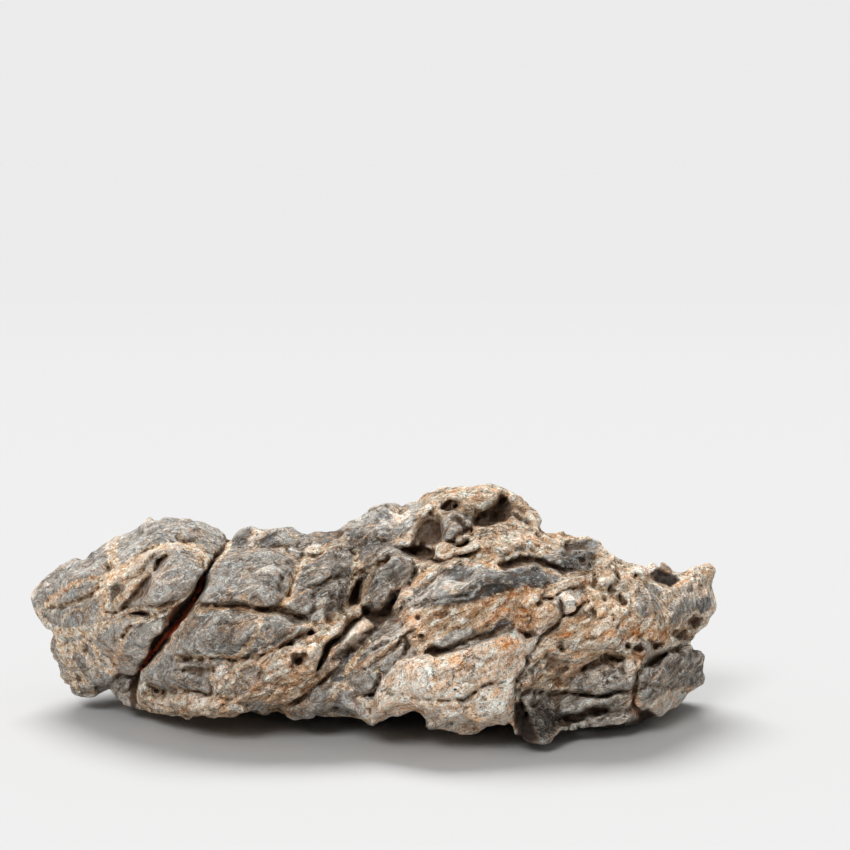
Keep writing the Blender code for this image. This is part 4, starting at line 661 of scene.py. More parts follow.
# Raised veins and crests.
RIDGES = (
    Line("cap_edge", 0.8, 0.8, ((120, 573), (130, 567), (146, 554), (160, 547), (178, 544), (193, 547),
        (204, 551), (213, 559))),
    Line("nose_rib_a", 0.8, 0.8, ((33, 606), (40, 616), (52, 629), (60, 635), (66, 639))),
    Line("nose_rib_b", 0.8, 0.7, ((60, 638), (59, 648), (63, 659), (65, 670), (63, 677))),
    Line("nose_rib_c", 0.7, 0.6, ((56, 638), (55, 648), (58, 657), (63, 663))),
    Line("nose_rim", 0.7, 0.5, ((63, 621), (68, 614), (73, 610), (80, 609))),
    Line("nose_brow", 1, 1.3, ((62, 635), (75, 630), (84, 626), (97, 621))),
    Line("face_band", 0.7, 1.1, ((64, 658), (75, 653), (81, 648), (86, 641), (92, 634), (99, 629))),
    Line("face_rib", 0.8, 0.7, ((92, 644), (102, 653), (106, 659), (109, 666), (122, 673))),
    Line("flank_rib", 0.7, 0.6, ((119, 641), (127, 635), (134, 629))),
    Line("eye_rim", 1, 0.8, ((133, 619), (149, 620), (159, 612), (170, 610), (180, 604))),
    Line("eye_brow", 0.6, 0.5, ((114, 618), (124, 615), (132, 614))),
    Line("slit_rim_a", 0.7, 0.6, ((126, 596), (138, 580), (147, 567), (158, 554))),
    Line("upper_arc", 0.7, 0.8, ((215, 589), (223, 582), (234, 577), (246, 573), (258, 570), (274, 565),
        (281, 572))),
    Line("crack_edge", 0.6, 0.6, ((231, 540), (222, 556), (214, 567), (208, 578))),
    Line("crest_rim_a", 0.7, 0.7, ((265, 530), (278, 529), (290, 532), (299, 536))),
    Line("crest_rim_b", 0.7, 0.6, ((276, 536), (286, 541), (298, 540), (292, 548), (300, 551))),
    Line("crest_top", 0.8, 0.8, ((357, 521), (369, 517), (380, 518), (388, 524), (396, 530))),
    Line("crest_high", 0.8, 0.9, ((357, 515), (370, 512), (378, 506), (388, 503), (402, 508))),
    Line("step_lip", 0.6, 0.7, ((302, 573), (316, 568), (330, 566), (340, 562))),
    Line("third_edge_a", 0.7, 0.6, ((362, 605), (366, 595), (370, 586), (372, 578), (375, 570), (386, 563),
        (398, 555), (408, 559), (414, 565))),
    Line("lower_rib", 0.5, 0.5, ((241, 639), (246, 631), (256, 624))),
    Line("seam_lip", 0.7, 0.6, ((201, 660), (210, 656), (219, 656))),
    Line("tongue_rim", 0.7, 0.7, ((334, 613), (344, 607), (360, 608), (366, 611))),
    Line("tongue_crust_a", 0.7, 0.7, ((289, 644), (295, 649), (299, 645), (296, 638))),
    Line("tongue_crust_b", 0.7, 0.7, ((270, 655), (280, 650), (290, 647))),
    Line("facet_rim", 0.6, 0.6, ((393, 596), (399, 588), (405, 581), (413, 576))),
    Line("slate_rim", 1, 0.6, ((430, 578), (446, 569), (458, 566), (473, 566), (489, 570), (504, 571),
        (513, 567), (525, 566), (534, 564), (541, 571), (550, 570), (560, 574))),
    Line("slate_light", 0.8, 0.8, ((484, 573), (482, 582), (477, 590), (471, 595))),
    Line("slate_line_a", 0.7, 0.7, ((476, 594), (484, 586), (498, 582), (512, 584))),
    Line("slate_line_b", 0.6, 0.7, ((431, 588), (445, 583), (458, 584), (473, 583))),
    Line("slab_rim", 0.8, 0.8, ((401, 658), (413, 656), (430, 655))),
    Line("knob_rim", 0.8, 0.8, ((450, 516), (455, 513), (466, 520), (472, 523))),
    Line("knob_nodules", 1, 0.8, ((476, 529), (483, 530), (490, 528), (498, 531))),
    Line("ledge_wave", 1.1, 0.8, ((455, 549), (463, 550), (471, 546), (478, 540), (480, 546))),
    Line("ledge_twig", 0.7, 0.5, ((458, 544), (467, 541), (475, 537))),
    Line("lump_rim_a", 0.8, 0.6, ((543, 559), (550, 552), (563, 549), (567, 554))),
    Line("lump_rim_b", 0.8, 0.6, ((555, 564), (563, 559), (576, 556))),
    Line("cave_lip", 1.3, 0.8, ((646, 576), (655, 584), (666, 594))),
    Line("cave_lip_b", 1, 0.8, ((666, 594), (675, 588), (685, 583), (690, 580))),
    Line("tip_vein_a", 0.7, 0.6, ((688, 580), (697, 586), (706, 593), (711, 600))),
    Line("tip_vein_b", 0.6, 0.5, ((695, 598), (693, 611), (697, 617))),
    Line("tip_rim", 0.8, 0.7, ((710, 585), (716, 596), (717, 611), (712, 618))),
    Line("tip_crest", 0.8, 0.7, ((690, 573), (699, 570), (707, 572))),
    Line("tip_fold", 0.8, 0.7, ((679, 650), (688, 643), (697, 635), (706, 630))),
    Line("hole_rim_a", 0.7, 0.5, ((673, 636), (680, 644), (688, 643))),
    Line("hole_rim_b", 0.7, 0.5, ((690, 628), (697, 626), (706, 624))),
    Line("end_rim", 0.8, 0.7, ((620, 634), (623, 645), (628, 651), (635, 654))),
    Line("curl_rim", 1.1, 0.7, ((635, 647), (639, 643), (647, 643), (652, 648), (652, 655))),
    Line("block_rim", 1.1, 0.8, ((637, 674), (646, 665), (653, 657), (661, 651), (671, 647))),
    Line("block_edge", 0.7, 0.8, ((703, 648), (709, 656), (707, 669), (699, 686))),
    Line("block_lens", 0.8, 0.6, ((682, 672), (688, 671), (693, 673))),
    Line("fold_rim_a", 1.1, 0.8, ((558, 641), (550, 649), (545, 661), (535, 669), (530, 675), (530, 682),
        (523, 687), (520, 695))),
    Line("fold_rim_b", 1.1, 0.8, ((574, 660), (572, 671), (560, 679), (549, 684), (543, 690))),
    Line("strip_rim_a", 1.1, 0.8, ((560, 717), (566, 711), (582, 706), (590, 701), (604, 701), (615, 702),
        (624, 698), (630, 700), (630, 708))),
    Line("strip_rim_b", 1.1, 0.8, ((556, 731), (574, 724), (582, 718), (601, 716), (615, 710), (628, 709))),
    Line("wedge_white", 0.6, 0.7, ((601, 673), (610, 679), (621, 684))),
    Line("rope_streak", 0.8, 0.7, ((546, 631), (540, 640), (536, 650))),
    Line("knob_rib", 1.2, 0.8, ((508, 509), (518, 517), (529, 527))),
    Line("left_vein", 1, 1.1, ((117, 534), (112, 548), (112, 558), (115, 568), (120, 575))),
    Line("shoulder_vein", 0.6, 0.7, ((48, 606), (58, 594), (77, 583), (104, 579))),
    Line("cream_vein", 1, 1.2, ((346, 538), (329, 547), (320, 554), (301, 563), (296, 574), (292, 586))),
    Line("crust_line", 0.8, 0.9, ((200, 609), (228, 607), (256, 611), (276, 613), (290, 618), (315, 630))),
    Line("slab_crest", 1, 0.9, ((541, 634), (539, 645), (526, 660), (524, 668), (514, 680), (511, 700))),
    Line("pleat_crest", 0.8, 0.8, ((559, 645), (548, 653), (545, 662), (527, 670))),
    Line("right_crest", 0.8, 1.1, ((640, 663), (652, 655), (672, 647), (690, 634))),
)

# Hollows: how deep they are cut, in mm, and how dark the shade painted in them is.
HOLLOWS = (
    Hollow("knob_hollow", 11, 0.7, ((500, 493), (508, 497), (512, 506), (513, 516), (505, 524), (489, 528),
        (475, 527), (472, 520), (478, 511), (489, 507), (496, 502))),
    Hollow("knob_arch", 3, 0.35, ((511, 501), (522, 506), (531, 515), (534, 528), (524, 527), (511, 515))),
    Hollow("knob_pocket", 5, 0.55, ((438, 508), (443, 502), (452, 499), (460, 501), (462, 508), (456, 513),
        (446, 514))),
    Hollow("cave", 12, 1.2, ((645, 573), (656, 569), (666, 570), (676, 574), (681, 578), (675, 584),
        (669, 589), (661, 586), (652, 581))),
    Hollow("second_gap", 8, 0.65, ((364, 574), (363, 590), (360, 606), (349, 606), (346, 600), (351, 590),
        (357, 579))),
    Hollow("tongue_gap", 6, 0.85, ((341, 634), (333, 638), (326, 643), (322, 650), (316, 668), (319, 670),
        (326, 657), (332, 649), (340, 641))),
    Hollow("knob_crevice", 9, 0.7, ((403, 545), (412, 549), (420, 545), (430, 548), (435, 556), (431, 563),
        (420, 562), (411, 558))),
    Hollow("lip_shadow", 5, 0.5, ((578, 668), (584, 663), (593, 659), (606, 653), (612, 656), (622, 658),
        (625, 664), (609, 662), (594, 665), (582, 672))),
    Hollow("shelf_shadow", 7, 0.75, ((497, 564), (512, 558), (522, 555), (538, 556), (552, 562), (564, 572),
        (561, 576), (550, 569), (536, 564), (520, 565), (505, 571))),
    Hollow("middle_gap", 5, 0.6, ((199, 604), (214, 602), (223, 605), (231, 601), (246, 603), (256, 608),
        (272, 606), (270, 612), (255, 613), (246, 608), (231, 606), (222, 610), (213, 606), (201, 608))),
    Hollow("keel_shade", 5, 1.1, ((513, 703), (522, 701), (529, 713), (541, 739), (530, 743), (516, 736))),
    Hollow("crest_dip", 2, 0.3, ((329, 556), (338, 555), (349, 556), (347, 561), (338, 562), (331, 561))),
    Hollow("strip_lens", 5, 0.7, ((588, 710), (594, 705), (606, 704), (615, 707), (608, 713), (596, 714))),
    Hollow("skirt_dark", 5, 0.9, ((637, 711), (648, 708), (657, 715), (661, 724), (647, 728), (637, 723))),
    Hollow("block_dark", 5, 0.8, ((646, 665), (655, 655), (665, 651), (671, 655), (659, 661), (651, 668))),
    Hollow("pleat_dish", 3, 0.4, ((545, 657), (558, 655), (572, 658), (570, 669), (557, 677), (546, 669))),
    Hollow("seam_dish", 2.5, 0.25, ((176, 655), (186, 653), (196, 656), (195, 660), (184, 661))),
    Hollow("eye", 5, 0.9, ((131, 612), (137, 610), (147, 611), (150, 614), (144, 617), (139, 615))),
    Hollow("end_recess", 3, 0.35, ((592, 657), (606, 652), (621, 653), (626, 659), (617, 666), (606, 657))),
    Hollow("knob_face", 3, 0.5, ((419, 513), (430, 510), (440, 515), (443, 528), (443, 543), (435, 549),
        (420, 546), (411, 539), (412, 526))),
    Hollow("ledge_slot", 4, 0.9, ((429, 558), (437, 558), (446, 560), (443, 563), (431, 562))),
)

PITS = (
    Pit("vein_pit", 3, (108, 570), (3, 5)),
    Pit("face_pit_a", 2.5, (91, 641), (4, 3), -40),
    Pit("face_pit_b", 2.5, (85, 651), (3, 4), 30),
    Pit("foot_pit_a", 3, (119, 674), (4, 3), 30),
    Pit("foot_pit_b", 3, (110, 685), (3, 4)),
    Pit("lower_scoop", 1.5, (198, 621), (6, 5)),
    Pit("seam_scoop", 3, (184, 657), (9, 4), 8),
    Pit("ledge_scoop", 2, (156, 694), (8, 5), 10),
    Pit("crest_pit", 2.5, (298, 544), (4, 4)),
    Pit("edge_pit_a", 5, (340, 533), (4, 4)),
    Pit("edge_pit_b", 4, (348, 531), (4, 3)),
    Pit("white_pit", 4, (354, 553), (4, 4), 30),
    Pit("second_pit_a", 1.5, (315, 599), (5, 6)),
    Pit("second_pit_b", 1.2, (334, 597), (5, 4)),
    Pit("crust_pit", 3, (291, 644), (5, 4)),
    Pit("tongue_corner", 5, (313, 632), (4, 3)),
    Pit("band_pit_a", 2.5, (417, 620), (4, 3)),
    Pit("band_pit_b", 2, (423, 637), (3, 4), 30),
    Pit("lobe_pit_a", 4, (475, 511), (3, 4)),
    Pit("lobe_pit_b", 3, (458, 512), (3, 2)),
    Pit("nub_hole", 4, (462, 522), (4, 3)),
    Pit("nub_dark", 4, (467, 529), (5, 3)),
    Pit("slope_pit_a", 2, (481, 540), (2, 2)),
    Pit("slope_pit_b", 2, (484, 554), (3, 2)),
    Pit("slope_pit_c", 2, (496, 539), (2, 1)),
    Pit("slope_pit_d", 2, (529, 538), (3, 1)),
    Pit("shelf_pit", 3, (536, 546), (4, 2)),
    Pit("ledge_pit_a", 5, (583, 562), (4, 3)),
    Pit("ledge_pit_b", 3, (575, 568), (4, 4)),
    Pit("facet_brown", 2.5, (589, 556), (5, 5)),
    Pit("bump_hole", 4, (611, 591), (5, 4), 30),
    Pit("end_hole_a", 4, (606, 600), (3, 2)),
    Pit("end_hole_b", 4, (620, 598), (2, 4)),
    Pit("end_hole_c", 4, (623, 605), (4, 2), -20),
    Pit("end_hole_d", 4, (594, 613), (4, 3)),
    Pit("end_hole_e", 4, (635, 576), (3, 3)),
    Pit("rope_hole_a", 5, (540, 604), (3, 3)),
    Pit("rope_hole_b", 5, (527, 637), (4, 3)),
    Pit("rope_hole_c", 4, (520, 632), (3, 2)),
    Pit("rope_brown", 3, (585, 617), (8, 4), -10),
    Pit("ring_pit", 1.5, (521, 612), (6, 6)),
    Pit("pleat_hole_a", 5, (561, 646), (5, 4)),
    Pit("pleat_hole_b", 3, (526, 658), (2, 2)),
    Pit("pleat_hole_c", 3, (533, 672), (2, 2)),
    Pit("curl_pit", 6, (640, 650), (5, 4)),
    Pit("end_pit", 4, (628, 648), (4, 4)),
    Pit("tip_slot", 6, (694, 622), (8, 4), -25),
    Pit("tip_brown", 6, (683, 637), (7, 6), -30),
    Pit("tip_notch", 3, (705, 573), (4, 3), 30),
    Pit("strip_dark", 6, (569, 721), (12, 5), -25),
    Pit("block_scoop_a", 3, (656, 661), (7, 5), -30),
    Pit("block_scoop_b", 2, (673, 668), (11, 6)),
    Pit("block_scoop_c", 1.5, (648, 676), (8, 5), -20),
    Pit("slab_scoop", 2.5, (485, 700), (4, 3)),
    Pit("left_eye", 3, (140, 614), (10, 5), 5),
    Pit("lower_pit", 4, (195, 669), (12, 5)),
    Pit("ledge_pit", 4, (157, 694), (10, 6), 10),
    Pit("tongue_pit", 6, (298, 661), (6, 5), -20),
    Pit("slab_hole", 6, (406, 646), (3, 7), 10),
    Pit("lens_hole", 6, (436, 650), (8, 5)),
    Pit("tip_hole_a", 6, (696, 622), (7, 4), -25),
    Pit("tip_hole_b", 6, (683, 636), (7, 5), -25),
    Pit("shelf_hole", 5, (570, 550), (5, 4)),
)

# Thin veins that only colour the rock.
VEINS = (
    Vein("cap_vein", 1.4, ((117, 534), (112, 548), (112, 558), (115, 568), (120, 575))),
    Vein("shoulder_crust", 0.7, ((46, 607), (51, 599), (66, 588), (77, 582), (92, 578), (105, 578))),
    Vein("diagonal_vein", 1.1, ((346, 538), (329, 547), (320, 554), (301, 563), (296, 574), (292, 586),
        (289, 600), (281, 607))),
    Vein("crust_vein", 0.9, ((198, 611), (210, 609), (228, 609), (232, 606), (242, 608), (261, 614),
        (285, 613), (300, 620), (314, 629))),
    Vein("nose_rust", 0.5, ((63, 621), (68, 614), (73, 610), (80, 609))),
    Vein("face_crust", 0.8, ((64, 658), (75, 653), (81, 648), (86, 641), (92, 634), (99, 629))),
    Vein("eye_crust", 0.8, ((133, 619), (149, 620), (159, 612), (170, 610), (180, 604))),
    Vein("side_crust", 0.8, ((231, 540), (222, 556), (214, 567))),
    Vein("foot_crust", 0.7, ((328, 715), (346, 718), (370, 720))),
    Vein("block_crust", 0.7, ((640, 662), (636, 674), (636, 688))),
    Vein("face_vein_a", 0.9, ((94, 645), (100, 660), (92, 674))),
    Vein("face_vein_b", 0.8, ((60, 636), (59, 650), (64, 664), (79, 689))),
    Vein("nose_vein", 0.8, ((36, 610), (55, 632), (75, 636), (92, 628))),
    Vein("lower_vein", 0.9, ((262, 615), (253, 636), (245, 650), (234, 661))),
    Vein("block_vein", 0.9, ((336, 686), (328, 706))),
    Vein("ledge_crust", 0.8, ((176, 657), (196, 657), (219, 656), (236, 660))),
    Vein("slate_seam_rust", 0.9, ((486, 603), (496, 597), (515, 593), (538, 589))),
    Vein("slate_white", 1.2, ((447, 588), (454, 590))),
    Vein("slab_seam", 0.6, ((437, 655), (433, 672), (436, 690), (431, 704))),
    Vein("second_vein", 0.9, ((356, 551), (357, 564), (353, 580), (351, 594))),
    Vein("ridge_vein_a", 0.9, ((117, 575), (130, 561), (149, 549), (175, 544), (193, 546), (208, 557))),
    Vein("ridge_vein_b", 0.9, ((108, 575), (107, 595), (108, 606), (127, 607))),
    Vein("ridge_vein_c", 0.9, ((103, 610), (127, 592), (142, 577), (166, 555))),
    Vein("brow_vein", 1.0, ((55, 633), (78, 630), (104, 625), (119, 621))),
    Vein("flank_vein_a", 0.9, ((68, 647), (86, 643), (108, 625))),
    Vein("flank_vein_b", 0.8, ((57, 628), (64, 654), (81, 676), (96, 691))),
    Vein("flank_vein_c", 0.8, ((82, 651), (95, 665), (107, 671), (116, 674))),
    Vein("flank_vein_d", 0.8, ((130, 628), (120, 647), (112, 665))),
    Vein("lens_vein", 0.9, ((51, 605), (75, 602), (90, 594), (99, 586))),
    Vein("column_vein", 0.9, ((352, 690), (338, 688), (331, 704))),
    Vein("lobe_vein", 0.9, ((368, 642), (356, 656), (346, 676))),
)

# The red of the great crack's floor.
EMBERS = (
    Vein("great_ember", 0.8, ((204, 578), (194, 600), (184, 616), (166, 635), (150, 655), (141, 671))),
)

# Rust and warmer stains: how strong, where and how far they reach.
STAINS = (
    Patch("middle_rust", 0.8, (177, 607), (6, 4), -40),
    Patch("band_rust", 0.8, (360, 664), (12, 3), -40),
    Patch("ring_rust", 0.8, (520, 612), (9, 8)),
    Patch("curl_rust", 1.0, (640, 655), (7, 6)),
    Patch("end_rust_b", 0.9, (636, 634), (5, 8)),
    Patch("crease_rust", 0.9, (636, 705), (6, 12)),
    Patch("under_slate", 0.7, (492, 600), (40, 5), -12),
    Patch("flank_rust", 0.8, (115, 652), (7, 12), 30),
    Patch("shoulder_rust", 0.8, (65, 590), (24, 3), -32),
    Patch("slab_rust_a", 0.8, (500, 612), (26, 9), -35),
    Patch("slab_rust_b", 0.9, (461, 659), (14, 7), -20),
    Patch("slab_rust_d", 1.0, (508, 645), (12, 11), -50),
    Patch("slate_line_rust", 1.0, (516, 593), (26, 3), -12),
    Patch("slab_rust_c", 0.6, (436, 676), (5, 18)),
    Patch("end_rust", 0.9, (654, 634), (16, 5), 5),
    Patch("skirt_rust_a", 1.2, (636, 632), (6, 7)),
    Patch("skirt_rust_b", 1.2, (661, 635), (6, 6)),
    Patch("lobe_rust", 1.0, (611, 633), (9, 3)),
    Patch("hook_rust", 1.2, (566, 634), (5, 5)),
    Patch("cave_rust", 1.2, (683, 583), (6, 3), -20),
    Patch("tongue_stain", 0.38, (288, 678), (38, 26), -20),
    Patch("rope_stain", 0.36, (530, 618), (32, 24), -30),
    Patch("lip_stain", 0.36, (566, 668), (30, 20), -20),
    Patch("foot_stain", 0.25, (200, 702), (60, 12)),
    Patch("slate_rust", 0.8, (520, 590), (22, 4), -12),
    Patch("left_rust_a", 0.4, (140, 590), (12, 22), 40),
    Patch("left_rust_b", 0.6, (120, 655), (18, 8), 40),
    Patch("left_rust_c", 0.35, (98, 590), (14, 5), -40),
    Patch("tongue_rust", 0.5, (290, 690), (26, 8), -25),
    Patch("facet_rust", 0.7, (408, 586), (12, 5), -45),
    Patch("seam_rust", 0.6, (235, 609), (36, 4)),
    Patch("root_stain", 0.45, (400, 614), (24, 22)),
    Patch("side_stain", 0.5, (330, 660), (10, 16)),
    Patch("slab_foot_stain", 0.4, (414, 708), (20, 9)),
    Patch("pleat_stain", 0.4, (546, 652), (14, 13)),
    Patch("crust_stain", 0.45, (258, 684), (14, 10)),
)

# Where the rock is painted lighter, or darker where the strength is negative: partly bleached rock, partly
# painted light and painted shade.
BLEACH_LIGHT_AND_SHADE = (
    Patch("left_lobe", 0.6, (105, 625), (85, 80)),
    Patch("left_cap", 0.5, (165, 530), (60, 16), -5),
    Patch("middle_crest", -0.1, (275, 538), (60, 12), 5),
    Patch("second_crest", 0.3, (385, 515), (35, 12), -10),
    Patch("knob_crown", 0.1, (465, 494), (45, 10)),
    Patch("slab_face", 0.9, (412, 675), (18, 22)),
    Patch("tongue_crust", 0.5, (255, 672), (50, 18), -20),
    Patch("slate_brow", 0.4, (450, 578), (40, 10), -15),
    Patch("tip_top", 0.45, (690, 590), (25, 16)),
    Patch("wedge_crest", 0.25, (600, 690), (40, 22)),
    Patch("low_blocks", 0.6, (335, 700), (40, 18)),
    Patch("middle_dull", -0.16, (245, 640), (55, 34)),
    Patch("knob_dull", -0.35, (478, 512), (44, 18)),
    Patch("slab_low", 0.6, (470, 705), (40, 12), -10),
    Patch("second_dull", -0.3, (358, 582), (58, 38)),
    Patch("slope_dull", -0.14, (500, 545), (50, 22)),
    Patch("slate_dull", -0.3, (516, 582), (36, 11), -4),
    Patch("slate_shade", -0.25, (458, 577), (17, 6)),
    Patch("slab_foot", 0.8, (470, 715), (45, 14), -10),
    Patch("slab_grey_a", -0.42, (499, 707), (11, 12)),
    Patch("slab_grey_b", -0.3, (450, 720), (18, 3), -25),
    Patch("keel_dull", -0.75, (544, 723), (22, 20)),
    Patch("shelf_dull", -0.7, (579, 563), (24, 13)),
    Patch("shelf_root_dull", -0.35, (534, 563), (20, 9)),
    Patch("second_crest_dull", -0.5, (360, 542), (40, 12)),
    Patch("nose_dull", -0.6, (88, 611), (16, 10)),
    Patch("block_dull", -0.35, (618, 588), (14, 12)),
    Patch("crack_lip_dull", -0.3, (210, 564), (12, 14)),
    Patch("third_dull", -0.25, (306, 564), (13, 11)),
    Patch("cheek_dull", -0.4, (162, 588), (13, 12)),
    Patch("foot_rim", 0.8, (256, 706), (28, 8)),
    Patch("end_face", 1.0, (616, 635), (14, 12)),
    Patch("tongue_root", 1.1, (404, 610), (19, 34)),
    Patch("pleat_face", 1.1, (536, 647), (26, 14), -45),
    Patch("lobe_tops", 1.0, (354, 637), (15, 13)),
    Patch("lobe_side", 0.9, (330, 660), (11, 15)),
    Patch("heel_rim", 0.9, (161, 706), (18, 8)),
    Patch("tip_face", 0.8, (690, 588), (14, 10)),
    Patch("low_rim", 0.7, (333, 707), (22, 9)),
    Patch("slab_rise", 0.8, (474, 685), (16, 11)),
    Patch("fissure_dull", -0.3, (89, 589), (13, 9)),
    Patch("cap_dull", -0.2, (136, 541), (15, 10)),
    Patch("ridge_dull", -0.25, (113, 564), (13, 10)),
    Patch("nose_tip_dull", -0.25, (64, 613), (12, 8)),
    Patch("slope_pit_dull", -0.25, (452, 541), (12, 9)),
    Patch("lower_dull", -0.2, (210, 613), (13, 9)),
    Patch("tip_dull", -0.3, (690, 636), (12, 10)),
    Patch("wedge_face", 0.5, (616, 684), (14, 10)),
    Patch("slope_face", 0.5, (521, 541), (14, 9)),
    Patch("slate_end", 0.5, (427, 588), (12, 10)),
    Patch("slab_middle", 0.9, (470, 676), (30, 10), -15),
    Patch("slab_whole", 0.35, (450, 680), (75, 28), -20),
    Patch("slate_body", 0.35, (440, 592), (24, 10), -20),
    Patch("slab_crust", 0.6, (560, 655), (30, 18), -30),
    Patch("foot_ledge", 0.35, (190, 703), (60, 9)),
)


def normalised(vector):
    vector = np.asarray(vector, float)
    return vector / np.linalg.norm(vector)


KEY_FACTORS = np.array((73856093, 19349663, 83492791))
BED_NORMAL = normalised((-0.52, -0.25, 0.80))
BED_STRIKE = normalised((0.80, 0.10, 0.55))
BED_DIP = normalised(np.cross(BED_NORMAL, BED_STRIKE))
BED_FRAME = np.stack([np.cross(BED_DIP, BED_NORMAL), BED_DIP, BED_NORMAL], axis=1)
FORWARD = normalised((0.0, math.cos(VIEW_PITCH), -math.sin(VIEW_PITCH)))
UPWARD = normalised((0.0, math.sin(VIEW_PITCH), math.cos(VIEW_PITCH)))
FOCAL = VIEW_DISTANCE * UNITS_PER_MM
OFFSET = (STANDING_POINT - SIGHT_LINE) / UNITS_PER_MM
EYE = -(OFFSET[0] * np.array((1.0, 0.0, 0.0)) - OFFSET[1] * UPWARD + VIEW_DISTANCE * FORWARD)


def drawn(points):
    """Where points, in mm, are seen on the drawing."""
    ray = points - EYE
    depth = ray @ FORWARD
    return SIGHT_LINE[0] + FOCAL * ray[:, 0] / depth, SIGHT_LINE[1] - FOCAL * (ray @ UPWARD) / depth


def smoothstep(low, high, value):
    """0 at low, 1 at high, an even turn from one to the other between them, and level beyond them."""
    t = np.clip((value - low) / (high - low), 0.0, 1.0)
    return t * t * (3.0 - 2.0 * t)


def smooth_max(a, b, rounding):
    """The larger of two fields, with the edge where they meet rounded off."""
    h = np.clip(0.5 + 0.5 * (a - b) / rounding, 0.0, 1.0)
    return b + (a - b) * h + rounding * h * (1.0 - h)


def cell_keys(cells):
    """A whole number for each cell, which its random numbers are made from."""
    x, y, z = (cells * KEY_FACTORS).T
    return x ^ y ^ z


def hashed(keys, salt):
    """A repeatable number from 0 to 1 for each cell's key."""
    n = keys ^ salt * 2654435761
    for shift, factor in ((13, 1274126177), (16, 2246822519)):
        n ^= n >> shift
        n *= factor
        n &= 0xFFFFFFFF
    return (n ^ (n >> 15)) / 0xFFFFFFFF


def noise(points, size, salt):
    """Smooth noise from -1 to 1 whose lumps are about size across."""
    scaled = np.ascontiguousarray(points.T) / size
    cells = np.floor(scaled).astype(np.int64)
    t = scaled - cells
    t = t * t * t * (t * (t * 6.0 - 15.0) + 10.0)
    shares = (1.0 - t, t)
    keys = [(cells + side) * KEY_FACTORS[:, None] for side in (0, 1)]
    total = np.zeros(len(points))
    for x, y, z in np.ndindex(2, 2, 2):
        weight = shares[x][0] * shares[y][1] * shares[z][2]
        total += weight * hashed(keys[x][0] ^ keys[y][1] ^ keys[z][2], salt)
    return 2.0 * total - 1.0


def fractal(points, size, octaves, salt):
    """Noise with finer and weaker noise laid over it."""
    total = np.zeros(len(points))
    for octave in range(octaves):
        total += noise(points, size / 2**octave, salt + octave) / 2**octave
    return total


def chips(points, size, drop, slope, bowl, salt):
    """Shallow chips about size across that meet in sharp ridges. Each has its own level and tilt."""
    scaled = points / size
    home = np.floor(scaled - 0.5).astype(np.int64)
    lowest = np.full(len(points), np.inf)
    for step in np.ndindex(2, 2, 2):
        cell = home + step
        keys = cell_keys(cell)
        loose = np.stack([hashed(keys, salt + number) for number in range(6)], axis=1) - 0.5
        gap = scaled - cell - 0.5 - 0.5 * loose[:, :3]
        level = drop * hashed(keys, salt + 6) + 2.0 * slope * size * np.sum(loose[:, 3:] * gap, axis=1)
        lowest = np.minimum(lowest, level + bowl * size * np.sum(gap * gap, axis=1))
    return lowest - 0.5 * drop - 0.25 * bowl * size


def beds(points, thickness, step, groove, salt):
    """Layers that rise to the right and lean back: each stands a little proud of or behind the next."""
    across = points @ BED_NORMAL / thickness
    across = across + 0.7 * noise(points, 45.0, salt) + 0.22 * noise(points, 14.0, salt + 1)
    bed = np.floor(across).astype(np.int64)
    share = across - bed
    along = np.floor(points @ BED_STRIKE / (4.0 * thickness) + 0.37 * bed).astype(np.int64)
    here = hashed(cell_keys(np.stack([bed, along, bed * 0], axis=1)), salt + 2)
    there = hashed(cell_keys(np.stack([bed + 1, along, bed * 0], axis=1)), salt + 2)
    height = step * (here + (there - here) * smoothstep(0.72, 1.0, share) - 0.5)
    return height - groove * np.exp(-(((share - 0.72) / 0.09) ** 2))


class Spline:
    """A thin-plate surface through (right, down, depth) places."""

    def __init__(self, places):
        places = np.array(places, float)
        self.knots = places[:, :2] / 100.0
        count = len(places)
        affine = np.column_stack([np.ones(count), self.knots])
        system = np.zeros((count + 3, count + 3))
        system[:count, :count] = self.bend(self.knots)
        system[:count, count:] = affine
        system[count:, :count] = affine.T
        self.weights = np.linalg.solve(system, np.concatenate([places[:, 2], np.zeros(3)]))

    def bend(self, at):
        """How strongly each knot bends the surface at some places."""
        gap = np.linalg.norm(at[:, None] - self.knots[None], axis=2)
        return gap**2 * np.log(np.maximum(gap, 1e-9))

    def at(self, right, down):
        """The surface's depth at places on the drawing."""
        depth = np.empty(len(right))
        for part in np.array_split(np.arange(len(right)), max(1, len(right) // 200000)):
            at = np.column_stack([right[part], down[part]]) / 100.0
            depth[part] = self.bend(at) @ self.weights[:-3] + self.weights[-3] + at @ self.weights[-2:]
        return depth


def line_distance(right, down, points, closed=False):
    """Distance in drawing units from places on the drawing to a run of straight pieces."""
    points = np.array(points, float)
    ends = np.roll(points, -1, axis=0) if closed else points[1:]
    best = np.full(len(right), np.inf)
    for (ax, ay), (bx, by) in zip(points, ends):
        dx, dy = bx - ax, by - ay
        t = np.clip(((right - ax) * dx + (down - ay) * dy) / (dx * dx + dy * dy), 0.0, 1.0)
        best = np.minimum(best, np.hypot(right - ax - t * dx, down - ay - t * dy))
    return best


def inside(right, down, outline):
    """Which places on the drawing an outline holds."""
    found = np.zeros(len(right), bool)
    for (ax, ay), (bx, by) in zip(outline, outline[1:] + outline[:1]):
        if ay != by:
            crosses = (ay > down) != (by > down)
            found ^= crosses & (right < (bx - ax) * (down - ay) / (by - ay) + ax)
    return found


def depth_inside(right, down, outline):
    """Distance in drawing units inside an outline, negative outside it."""
    distance = line_distance(right, down, outline, closed=True)
    return np.where(inside(right, down, outline), distance, -distance)


